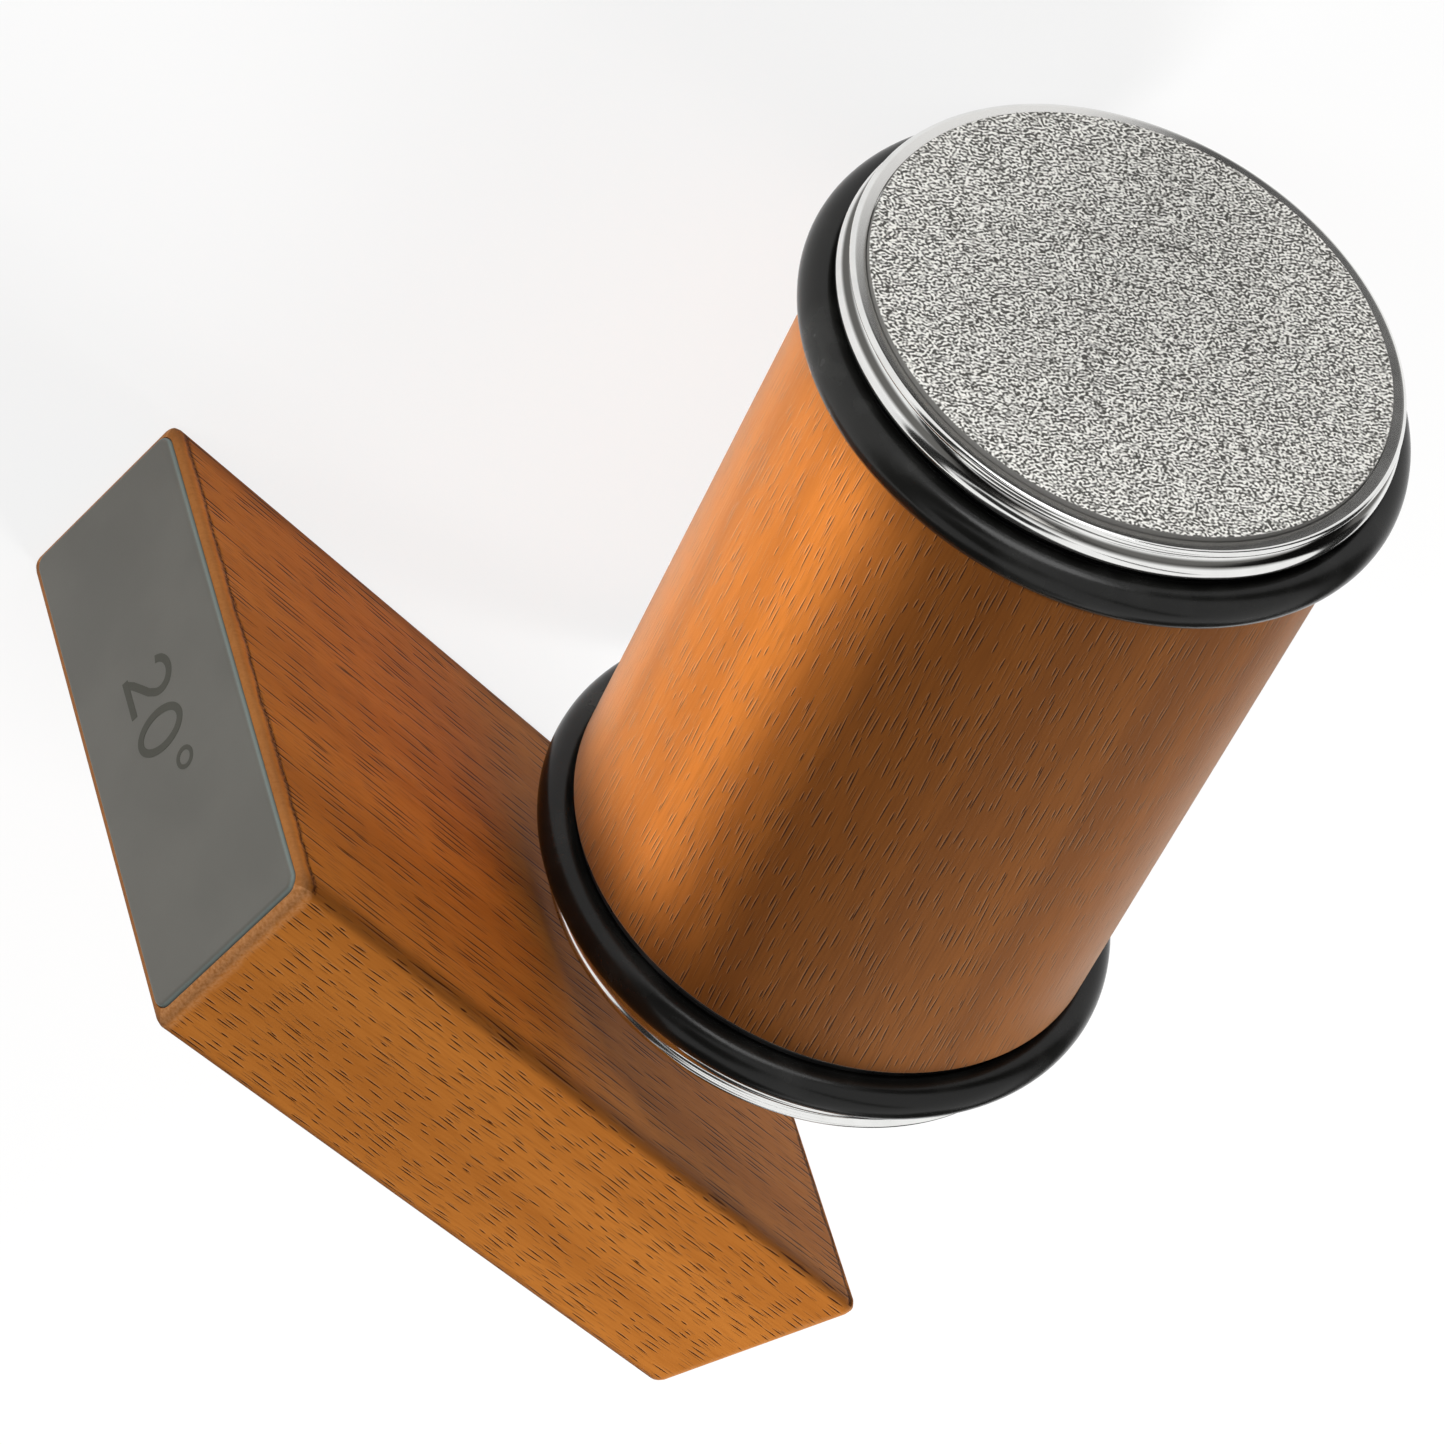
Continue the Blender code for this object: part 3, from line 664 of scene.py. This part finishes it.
# Angle block
def blockMesh():
    half = blockSize["base"] / 2
    rise = blockSize["height"]
    tilt = blockSize["tilt"]
    outline = [(-half, -rise / 2), (half, -rise / 2), (half + rise * tan(tilt["15"]), rise / 2),
               (-half - rise * tan(tilt["20"]), rise / 2)]
    bm = bmesh.new()
    low, high = ([bm.verts.new((x, y, height)) for x, y in outline] for height in (0, blockSize["width"]))
    bm.faces.new(list(reversed(low)))
    bm.faces.new(high)
    addWall(bm, low, high)
    bmesh.ops.bevel(bm, geom=bm.edges[:], offset=blockSize["round"], segments=blockSize["roundSteps"],
                    profile=0.5, affect="EDGES")
    return bm


def recessOutline(mark, extra):
    lip = blockSize["lip"]
    width = blockSize["width"] - 2 * lip + 2 * extra
    height = blockSize["height"] / cos(blockSize["tilt"][mark]) - 2 * lip + 2 * extra
    return roundedBox(width, height, blockSize["recessCorner"] + extra)


padSize = dict(
    width=8.0, length=44.0, inset=12.0, proud=0.4, thickness=1.5, seam=0.12, play=0.2,
    seatCorner=0.8, ribPitch=2.0, ribHeight=0.45, ribSides=16, sharp=30.0,
)


def padPlace(side):
    # Local X across the pad, Y along it, Z out of the block's base.
    along = side * (blockSize["base"] / 2 - padSize["inset"] - padSize["width"] / 2)
    middle = Vector((along, -blockSize["height"] / 2, blockSize["width"] / 2)) * millimetre
    return frameMatrix(Vector((1, 0, 0)), Vector((0, 0, 1)), Vector((0, -1, 0)), middle)


def makeBlock():
    body = addObject("beechBlock", meshFrom(blockMesh(), beechAlong))
    body.data.transform(Matrix.Scale(millimetre, 4))
    reach = blockSize["cutReach"]
    cuts = [(slab(recessOutline(mark, 0.0), -blockSize["recessDepth"], reach), endFrame(mark))
            for mark in marks]
    seat = roundedBox(padSize["width"] + 2 * padSize["seam"], padSize["length"] + 2 * padSize["seam"],
                      padSize["seatCorner"])
    cuts += [(slab(seat, padSize["proud"] - padSize["thickness"], reach), padPlace(side))
             for side in (-1, 1)]
    cutters = []
    for cut, place in cuts:
        cutter = addObject("cutter", meshFrom(cut, beechAlong))
        cutter.data.transform(place)
        cutters.append(cutter)
        modifier = body.modifiers.new("cut", "BOOLEAN")
        modifier.object = cutter
        modifier.operation = "DIFFERENCE"
        modifier.solver = "EXACT"
    mesh = evaluatedMesh(body)
    for spare in [body, *cutters]:
        bpy.data.objects.remove(spare)
    mesh.shade_smooth()
    mesh.set_sharp_from_angle(angle=radians(blockSize["sharp"]))
    finishPiece("beechBlock", mesh, Matrix.Identity(4), "angle_block", "beech", "block_body")


plateSize = dict(proud=0.4, edge=0.5, edgeSteps=5, bedGap=0.05, sharp=50.0)


def makePlates():
    for mark in marks:
        outline = recessOutline(mark, -blockSize["seam"])
        plate = slab(outline, -blockSize["recessDepth"] + plateSize["bedGap"], plateSize["proud"],
                     plateSize["edge"], plateSize["edgeSteps"])
        finishPiece("anglePlate" + mark, meshFrom(plate, greyPaint, plateSize["sharp"]), endFrame(mark),
                    "angle_block", "grey_plate", "plate_" + mark)


markSize = dict(
    stroke=0.78, ringStroke=0.46, sunk=0.1, proud=0.02, step=0.004, sharp=30.0,
    narrowest=0.6,   # limit for a stroke's widening in a bend
)


def ribbon(bm, path, stroke, low, high, closed=False):
    # A flat band of even width along a path, as a closed solid.
    count = len(path)
    path = [Vector(point) for point in path]
    corners = []
    for index, point in enumerate(path):
        before = path[index - 1] if closed or index else point
        after = path[(index + 1) % count] if closed or index < count - 1 else point
        along = (after - before).normalized()
        across = Vector((-along.y, along.x)) * stroke / 2
        if not closed and 0 < index < count - 1:
            bend = (after - point).normalized().dot((point - before).normalized())
            across /= max(markSize["narrowest"], sqrt((1 + bend) / 2))
        left, right = point + across, point - across
        corners.append([bm.verts.new((*side, height)) for side, height in
                        ((left, low), (right, low), (right, high), (left, high))])
    for here, following in zip(corners, corners[1:] + corners[:1] if closed else corners[1:]):
        addWall(bm, here, following)
    if not closed:
        bm.faces.new(corners[0])
        bm.faces.new(list(reversed(corners[-1])))


def ring(centreX, centreY, reachX, reachY, steps=48):
    return [(centreX + reachX * cos(tau * step / steps),
             centreY + reachY * sin(tau * step / steps)) for step in range(steps)]


def numberStrokes(mark):
    # Lines of each character, in millimetres from the plate's middle.
    bowlTwo = arc(-4.15, 1.05, 1.62, 172, -28, 18)
    two = bowlTwo + [(-3.3, -0.55), (-4.3, -1.4), (-5.2, -2.2), (-5.85, -3.0)]
    foot = [(-6.3, -3.1), (-2.1, -3.1)]
    one = [(-5.6, 1.55), (-4.0, 2.75), (-4.0, -3.5)]
    five = [(2.75, 2.7), (0.05, 2.7), (-0.3, 0.15)] + arc(0.85, -1.15, 1.85, 128, -138, 20)
    strokes = {"20": [(two, False), (foot, False), (ring(1.1, -0.42, 1.8, 2.85), True)],
               "15": [(one, False), (five, False)]}
    return strokes[mark]


def makeMarks():
    low, high = plateSize["proud"] - markSize["sunk"], plateSize["proud"] + markSize["proud"]
    for mark in marks:
        bm = bmesh.new()
        for index, (path, closed) in enumerate(numberStrokes(mark)):
            ribbon(bm, path, markSize["stroke"], low, high + index * markSize["step"], closed)
        ribbon(bm, ring(5.68, 1.6, 0.92, 0.94, 32), markSize["ringStroke"], low, high, True)
        finishPiece("angleMark" + mark, meshFrom(bm, markPaint, markSize["sharp"]), endFrame(mark),
                    "angle_block", "grey_plate")


def padTree(values):
    # A flat strip with a row of round ribs across it.
    given = startTree("ribbedPad", values)
    size = vectorOf(given["Width"], given["Length"], given["Thickness"])
    strip = addNode("GeometryNodeMeshCube", {"Size": size})
    pitch = maths("DIVIDE", given["Length"], given["Rib count"])
    start = line(pitch, -0.5, line(given["Length"], -0.5, pitch))
    first = vectorOf(0.0, start, times(given["Thickness"], 0.5))
    row = addNode("GeometryNodeMeshLine", {"Count": given["Rib count"], "Start Location": first,
                                           "Offset": vectorOf(0.0, pitch)})
    rib = addNode("GeometryNodeMeshCylinder",
                  {"Vertices": padSize["ribSides"], "Radius": given["Rib radius"], "Depth": given["Width"]})
    ribs = addNode("GeometryNodeInstanceOnPoints",
                   {"Points": row.outputs[0], "Instance": rib.outputs[0], "Rotation": (0, pi / 2, 0)})
    both = addNode("GeometryNodeJoinGeometry")
    for part in (strip, ribs):
        link(part.outputs[0], both.inputs[0])
    return endTree(both.outputs[0], given["Material"])


def makePads():
    strip = padSize["thickness"] - padSize["ribHeight"]
    values = {"Width": padSize["width"] - padSize["play"], "Length": padSize["length"],
              "Thickness": strip, "Rib count": int(padSize["length"] / padSize["ribPitch"]),
              "Rib radius": padSize["ribHeight"], "Material": padRubber}
    tree = padTree(values)
    sunk = Matrix.Translation((0, 0, padSize["proud"] - padSize["ribHeight"] - strip / 2))
    for name, side in (("left", -1), ("right", 1)):
        mesh = outwardMesh(growMesh(tree, values), padSize["sharp"])
        finishPiece("ribbedPad" + name.capitalize(), mesh, padPlace(side) @ sunk, "angle_block", "rubber",
                    "base_pad_" + name)


makeBlock()
makePlates()
makeMarks()
makePads()
print("angle block made")


# Roller
def endMatrix(end):
    # The rear end is the front end turned about the local X axis.
    return rollerFrame if end == "front" else rollerFrame @ Matrix.Rotation(pi, 4, "X")


sleeveSize = dict(bore=14.0, edge=0.45, edgeSteps=5, sides=160, sharp=50.0)


def makeSleeve():
    edge = sleeveSize["edge"]
    upper = arc(sleeveRadius - edge, sleeveHigh - edge, edge, 0, 90, sleeveSize["edgeSteps"])
    lower = [(radius, -height) for radius, height in reversed(upper)]
    profile = [(sleeveSize["bore"], sleeveLow)] + lower + upper + [(sleeveSize["bore"], sleeveHigh)]
    mesh = meshFrom(turned(profile, sleeveSize["sides"]), beechTurned, sleeveSize["sharp"])
    finishPiece("beechSleeve", mesh, rollerFrame, "handle", "beech", "wood_sleeve")


tyreSize = dict(section=2.15, ringSteps=160, sectionSteps=32, sharp=60.0)
tyreCentre = tyreReach - tyreSize["section"]
tyrePlane = (tyreLow + tyreHigh) / 2


def tyreTree(values):
    given = startTree("tyre", values)
    path, section = (addNode("GeometryNodeCurvePrimitiveCircle",
                             {"Resolution": given[part + " steps"], "Radius": given[part + " radius"]})
                     for part in ("Ring", "Section"))
    swept = addNode("GeometryNodeCurveToMesh", {0: path.outputs[0], 1: section.outputs[0]})
    return endTree(swept.outputs[0], given["Material"])


def makeTyres():
    values = {"Ring radius": tyreCentre, "Section radius": tyreSize["section"],
              "Ring steps": tyreSize["ringSteps"], "Section steps": tyreSize["sectionSteps"],
              "Material": tyreRubber}
    tree = tyreTree(values)
    for end in rollerEnds:
        mesh = outwardMesh(growMesh(tree, values), tyreSize["sharp"])
        finishPiece(end + "RubberTyre", mesh, endMatrix(end) @ Matrix.Translation((0, 0, tyrePlane)),
                    "wheelset", "tyre_rubber", end + "_tyre")


hubSize = dict(
    groove=2.3, grooveSteps=24, innerLip=26.2, outerLip=25.6, innerWidth=0.62,
    outerWidth=0.42, innerRound=0.2, outerRound=0.15, roundSteps=4, rim=23.3, web=12.0,
    sides=128, sharp=40.0,
)


def makeHubs():
    # Lips on each side of the tyre, the groove it sits in, and the rim that carries the ring.
    inner, outer = (sqrt(hubSize["groove"] ** 2 - (tyreCentre - hubSize[lip]) ** 2)
                    for lip in ("innerLip", "outerLip"))
    start = degrees(atan2(-inner, hubSize["innerLip"] - tyreCentre)) + 360
    end = degrees(atan2(outer, hubSize["outerLip"] - tyreCentre))
    innerFace = tyrePlane - inner - hubSize["innerWidth"]
    shoulder = tyrePlane + outer + hubSize["outerWidth"]
    innerRound, outerRound, steps = hubSize["innerRound"], hubSize["outerRound"], hubSize["roundSteps"]
    profile = [(hubSize["web"], innerFace)]
    profile += arc(hubSize["innerLip"] - innerRound, innerFace + innerRound, innerRound, -90, 0, steps)
    profile += arc(tyreCentre, tyrePlane, hubSize["groove"], start, end, hubSize["grooveSteps"])
    profile += arc(hubSize["outerLip"] - outerRound, shoulder - outerRound, outerRound, 0, 90, steps)
    profile += [(hubSize["rim"], shoulder), (hubSize["rim"], hubHigh), (hubSize["web"], hubHigh)]
    for name in rollerEnds:
        mesh = meshFrom(turned(profile, hubSize["sides"]), hubPlastic, hubSize["sharp"])
        finishPiece(name + "GroovedHub", mesh, endMatrix(name), "wheelset", "black_plastic", name + "_hub")


def makeRings():
    lower = arc(ringSize["lowerCentre"], ringLow + ringSize["lowerBead"], ringSize["lowerBead"], -90,
                ringSize["lowerEnd"], ringSize["lowerSteps"])
    upper = arc(ringSize["upperCentre"], ringHigh - ringSize["upperBead"], ringSize["upperBead"],
                ringSize["upperStart"], 90, ringSize["upperSteps"])
    profile = [(ringSize["bore"], ringLow)] + lower
    before, after = Vector(lower[-1]), Vector(upper[0])
    hollow = Vector((2 * ringSize["neck"] - (before.x + after.x) / 2, (before.y + after.y) / 2))
    for step in range(1, ringSize["neckSteps"]):
        share = step / ringSize["neckSteps"]
        rest = 1 - share
        profile.append(tuple(before * rest ** 2 + hollow * 2 * share * rest + after * share ** 2))
    drop, corner, seat = ringSize["slopeDrop"], ringSize["corner"], discReach + ringSize["seam"]
    slope = ringSize["upperCentre"] - discReach
    profile += upper
    profile += [(ringSize["upperCentre"] - share * slope, ringHigh - share * drop)
                for share in ringSize["slopeShares"]]
    profile += arc(seat + corner, ringHigh - drop - corner, corner, 90, 180, 3)
    profile += [(seat, discLow - ringSize["sunk"]), (ringSize["bore"], discLow - ringSize["sunk"])]
    for end in rollerEnds:
        mesh = meshFrom(turned(profile, ringSize["sides"]), chrome, ringSize["sharp"])
        finishPiece(end + "BeadedRing", mesh, endMatrix(end), "wheelset", "chrome", end + "_bezel")


discSize = dict(
    edge=0.15, edgeSteps=3, sides=160, sharp=40.0,
    grooves=44, grooveDepth=0.09, centreLand=1.6, rimLand=0.8, grooveSharp=25.0,
    grooveShape=(0.3, 0.5, 0.8),   # end of its outer wall, floor and inner wall, in pitches
)
gritSize = dict(
    margin=0.3, perArea=6.0, length=0.36, width=0.1, height=0.07, sunk=0.01, seed=7,
    lean=0.1, smallest=(0.6, 0.7, 0.5), largest=(1.4, 1.3, 1.3), faceSides=96,
)


def gritTree(values):
    # Long low grains lying every way on a round face, each a small closed pyramid.
    given = startTree("grit", values)
    face = addNode("GeometryNodeMeshCircle",
                   {"Vertices": gritSize["faceSides"], "Radius": given["Radius"]}, fill_type="TRIANGLE_FAN")
    spots = addNode("GeometryNodeDistributePointsOnFaces",
                    {"Mesh": face.outputs[0], "Density": given["Grains per area"], "Seed": given["Seed"]})
    grain = addNode("GeometryNodeMeshCone",
                    {"Vertices": 4, "Radius Top": 0.0, "Radius Bottom": 1.0, "Depth": 1.0})
    lean = gritSize["lean"]
    turn, spread = (addNode("FunctionNodeRandomValue", {"Min": low, "Max": high, "Seed": given["Seed"]},
                            data_type="FLOAT_VECTOR").outputs[0]
                    for low, high in (((-lean, -lean, 0.0), (lean, lean, tau)),
                                      (gritSize["smallest"], gritSize["largest"])))
    size = vectorOf(given["Grain length"], given["Grain width"], given["Grain height"])
    grains = addNode("GeometryNodeInstanceOnPoints",
                     {"Points": spots.outputs[0], "Instance": grain.outputs[0], "Rotation": turn,
                      "Scale": vectorMaths("MULTIPLY", size, spread)[0]})
    return endTree(grains.outputs[0], given["Material"])


def discProfile(grooved):
    edge = discSize["edge"]
    profile = [(0, discLow), (discReach, discLow)]
    profile += arc(discReach - edge, discHigh - edge, edge, 0, 90, discSize["edgeSteps"])
    if grooved:
        pitch = (discReach - discSize["rimLand"] - discSize["centreLand"]) / discSize["grooves"]
        floor = discHigh - discSize["grooveDepth"]
        wallEnd, floorEnd, grooveEnd = discSize["grooveShape"]
        for index in range(discSize["grooves"]):
            outer = discReach - discSize["rimLand"] - index * pitch
            profile += [(outer, discHigh), (outer - wallEnd * pitch, floor),
                        (outer - floorEnd * pitch, floor), (outer - grooveEnd * pitch, discHigh)]
    profile.append((0, discHigh))
    return profile


def makeDiscs():
    front, rear = (turned(discProfile(grooved), discSize["sides"], False) for grooved in (False, True))
    mesh = meshFrom(front, abrasive, discSize["sharp"])
    finishPiece("abrasiveDisc", mesh, rollerFrame, "wheelset", "abrasive", "front_disc")
    values = {"Radius": discReach - gritSize["margin"], "Grains per area": gritSize["perArea"],
              "Grain length": gritSize["length"], "Grain width": gritSize["width"],
              "Grain height": gritSize["height"], "Seed": gritSize["seed"], "Material": abrasive}
    grit = growMesh(gritTree(values), values)
    grit.shade_flat()
    finishPiece("abrasiveGrit", grit, rollerFrame @ Matrix.Translation((0, 0, discHigh - gritSize["sunk"])),
                "wheelset", "abrasive")
    mesh = meshFrom(rear, honingSteel, discSize["grooveSharp"])
    finishPiece("honingDisc", mesh, endMatrix("rear"), "wheelset", "honing_steel", "rear_disc")


makeSleeve()
makeTyres()
makeHubs()
makeRings()
makeDiscs()
print("roller made")


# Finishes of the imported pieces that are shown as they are
plainFinishes = {
    "keeper_bar_": flatSteel, "magnet_": nickel, "core_tube": turnedAluminium, "axle": turnedSteel,
    "bearing_spacer": turnedSteel, "_race": turnedSteel, "_circlip": flatSteel, "_ball_cage": brass,
    "_hub_screw": turnedSteel, "_washer": flatSteel,
}
for name, node in frame["nodes"].items():
    if node.hide_render:
        continue
    for part, finish in plainFinishes.items():
        if part in name:
            node.data.materials.clear()
            node.data.materials.append(finish)
print("packed pieces dressed")


# Camera, from the view fitted to the photograph
cameraView = dict(
    target=(2.5, 19.5, 27.0), azimuth=-108.15, elevation=34.116, roll=161.67,
    distance=704.8, slide=(9.07, 12.53), lens=183.9, sensor=36.0,
    clip=(0.01, 20.0),   # in metres
)


def makeCamera():
    azimuth, elevation = radians(cameraView["azimuth"]), radians(cameraView["elevation"])
    back = Vector((sin(azimuth) * cos(elevation), -cos(azimuth) * cos(elevation), sin(elevation)))
    level = Vector((cos(azimuth), sin(azimuth), 0))
    roll = Matrix.Rotation(radians(cameraView["roll"]), 3, "Z")
    turn = Matrix((level, back.cross(level), back)).transposed() @ roll
    right, up = turn.col[0], turn.col[1]
    along, across = cameraView["slide"]
    place = Vector(cameraView["target"]) + back * cameraView["distance"] + right * along + up * across
    data = bpy.data.cameras.new("camera")
    data.lens = cameraView["lens"]
    data.sensor_width = cameraView["sensor"]
    data.clip_start, data.clip_end = cameraView["clip"]
    camera = addObject("camera", data)
    camera.matrix_world = Matrix.Translation(place * millimetre) @ turn.to_4x4()
    bpy.context.scene.camera = camera


# Floor, lamps and world
lampList = [
    # A level of 1 lights white paper that faces the lamp to plain white.
    {"name": "key", "from": (-0.97, -0.18, 0.20), "away": 600, "size": (260, 220), "level": 0.53},
    {"name": "front", "from": (-0.66, 0.75, 0.10), "away": 600, "size": (240, 240), "level": 0.295},
    {"name": "right", "from": (0.85, -0.08, 0.52), "away": 600, "size": (300, 260), "level": 1.42},
    {"name": "strip", "from": (-0.99, -0.10, 0.03), "away": 320, "size": (52, 66), "level": 0.039,
     "aim": (-4, 49, 8), "spread": 3},
]
hiddenLamps = ("key", "right", "strip")   # left out of reflections
cardList = [
    # Cards that only reflections show: dark ones for the streaks in the chrome and the wood, and a light
    # one for the streak on the rings.
    {"name": "glintCard", "from": (-0.349, -0.902, 0.254), "away": 473, "size": (90, 240), "level": 1.5},
    {"name": "frontCard", "from": (0.16, -0.81, 0.56), "away": 420, "size": (420, 300), "level": 0.02},
    {"name": "sideCard", "from": (0.82, -0.26, 0.52), "away": 420, "size": (240, 220), "level": 0.02},
    {"name": "topCard", "from": (0.00, 0.20, 1.00), "away": 460, "size": (420, 70), "level": 0.05},
    {"name": "backCard", "from": (-0.73, -0.13, 0.67), "away": 420, "size": (330, 330), "level": 0.02},
    {"name": "borderCard", "place": (-50, 143, 2), "size": (76, 94), "level": 0.03},
]
cardLook = dict(colour=(1, 1, 0.97), soft=0.22)
bandSize = dict(radius=1500, low=20, high=680, sides=48, level=0.02, soft=0.16)
studioAim = (0, 35, 30)
worldLevel = 0.18
white = (1, 1, 1)
floorLook = dict(colour=(0.93, 0.93, 0.925), size=6.0, glow=0.83)   # its size in metres


def facingStudio(item):
    if "place" in item:
        return Matrix.Translation(Vector(item["place"]) * millimetre)
    away = item["away"] * millimetre
    direction = Vector(item["from"]).normalized()
    place = Vector(item.get("aim", studioAim)) * millimetre + direction * away
    turn = direction.to_track_quat("Z", "Y").to_matrix().to_4x4()
    return Matrix.Translation(place) @ turn


def makeLamps():
    for lamp in lampList:
        data = bpy.data.lights.new(lamp["name"], "AREA")
        data.shape = "RECTANGLE"
        data.size, data.size_y = (side * millimetre for side in lamp["size"])
        data.spread = radians(lamp.get("spread", 180))
        data.energy = lamp["level"] * (pi * lamp["away"] * millimetre) ** 2
        light = addObject(lamp["name"], data)
        light.matrix_world = facingStudio(lamp)
        light.visible_camera = False
        light.visible_glossy = lamp["name"] not in hiddenLamps


def flatSheet(name, width, height):
    mesh = bpy.data.meshes.new(name)
    corners = ((0, 0), (1, 0), (1, 1), (0, 1))
    mesh.from_pydata([((x - 0.5) * width, (y - 0.5) * height, 0) for x, y in corners], [], [(0, 1, 2, 3)])
    for loop, corner in zip(mesh.uv_layers.new(name="spread").data, corners):
        loop.uv = corner
    return mesh


def endMixed(share, first, second):
    both = addNode("ShaderNodeMixShader", {0: share, 1: first.outputs[0], 2: second.outputs[0]})
    addNode("ShaderNodeOutputMaterial", {0: both.outputs[0]})


def cardMaterial(name, level, soft):
    # Plain in the middle and clear at the edges, by the place in the card's own UV map.
    material = openTree(bpy.data.materials.new(name))
    place = axesOf(addNode("ShaderNodeTexCoord").outputs["UV"])
    inside = [fade(maths("ABSOLUTE", line(axis, 2.0, -1.0)), (1.0, 1.0 - 2 * soft)) for axis in place[:2]]
    endMixed(times(*inside), addNode("ShaderNodeBsdfTransparent"),
             addNode("ShaderNodeEmission", {"Color": cardLook["colour"], "Strength": level}))
    return material


def addCard(name, mesh, place, level, soft):
    mesh.transform(place @ Matrix.Scale(millimetre, 4))
    mesh.materials.append(cardMaterial(name, level, soft))
    card = addObject(name, mesh)
    card.visible_camera = card.visible_diffuse = card.visible_shadow = False


def makeCards():
    for card in cardList:
        addCard(card["name"], flatSheet(card["name"], *card["size"]), facingStudio(card), card["level"],
                cardLook["soft"])
    # A dark wall round the horizon, clear at its lower and upper edge.
    low, high = bandSize["low"], bandSize["high"]
    bm = turned([(bandSize["radius"], low), (bandSize["radius"], high)], bandSize["sides"], closed=False)
    mapping = bm.loops.layers.uv.new("spread")
    for face in bm.faces:
        for loop in face.loops:
            loop[mapping].uv = (0.5, (loop.vert.co.z - low) / (high - low))
    mesh = bpy.data.meshes.new("horizonBand")
    bm.to_mesh(mesh)
    bm.free()
    addCard("horizonBand", mesh, Matrix.Identity(4), bandSize["level"], bandSize["soft"])


def seenDirectly():
    # 1 for rays from the camera, from a mirror or through glass, 0 for the light on the object.
    path = addNode("ShaderNodeLightPath").outputs
    either = maths("MAXIMUM", path["Is Camera Ray"], path["Is Glossy Ray"])
    return maths("MAXIMUM", either, path["Is Transmission Ray"])


def makeFloor():
    material = openTree(bpy.data.materials.new("floorPaper"))
    endMixed(times(seenDirectly(), floorLook["glow"]),
             addNode("ShaderNodeBsdfDiffuse", {"Color": floorLook["colour"]}),
             addNode("ShaderNodeEmission", {"Color": white, "Strength": 1.0}))
    mesh = flatSheet("floor", floorLook["size"], floorLook["size"])
    mesh.materials.append(material)
    addObject("floor", mesh)


def makeWorld():
    bpy.context.scene.world = openTree(bpy.data.worlds.new("studio"))
    level = line(seenDirectly(), 1 - worldLevel, worldLevel)
    sky = addNode("ShaderNodeBackground", {"Color": white, "Strength": level})
    addNode("ShaderNodeOutputWorld", {0: sky.outputs[0]})


makeCamera()
makeLamps()
makeCards()
makeFloor()
makeWorld()
bpy.context.scene.view_settings.view_transform = "Standard"
print("camera, lamps and floor made")
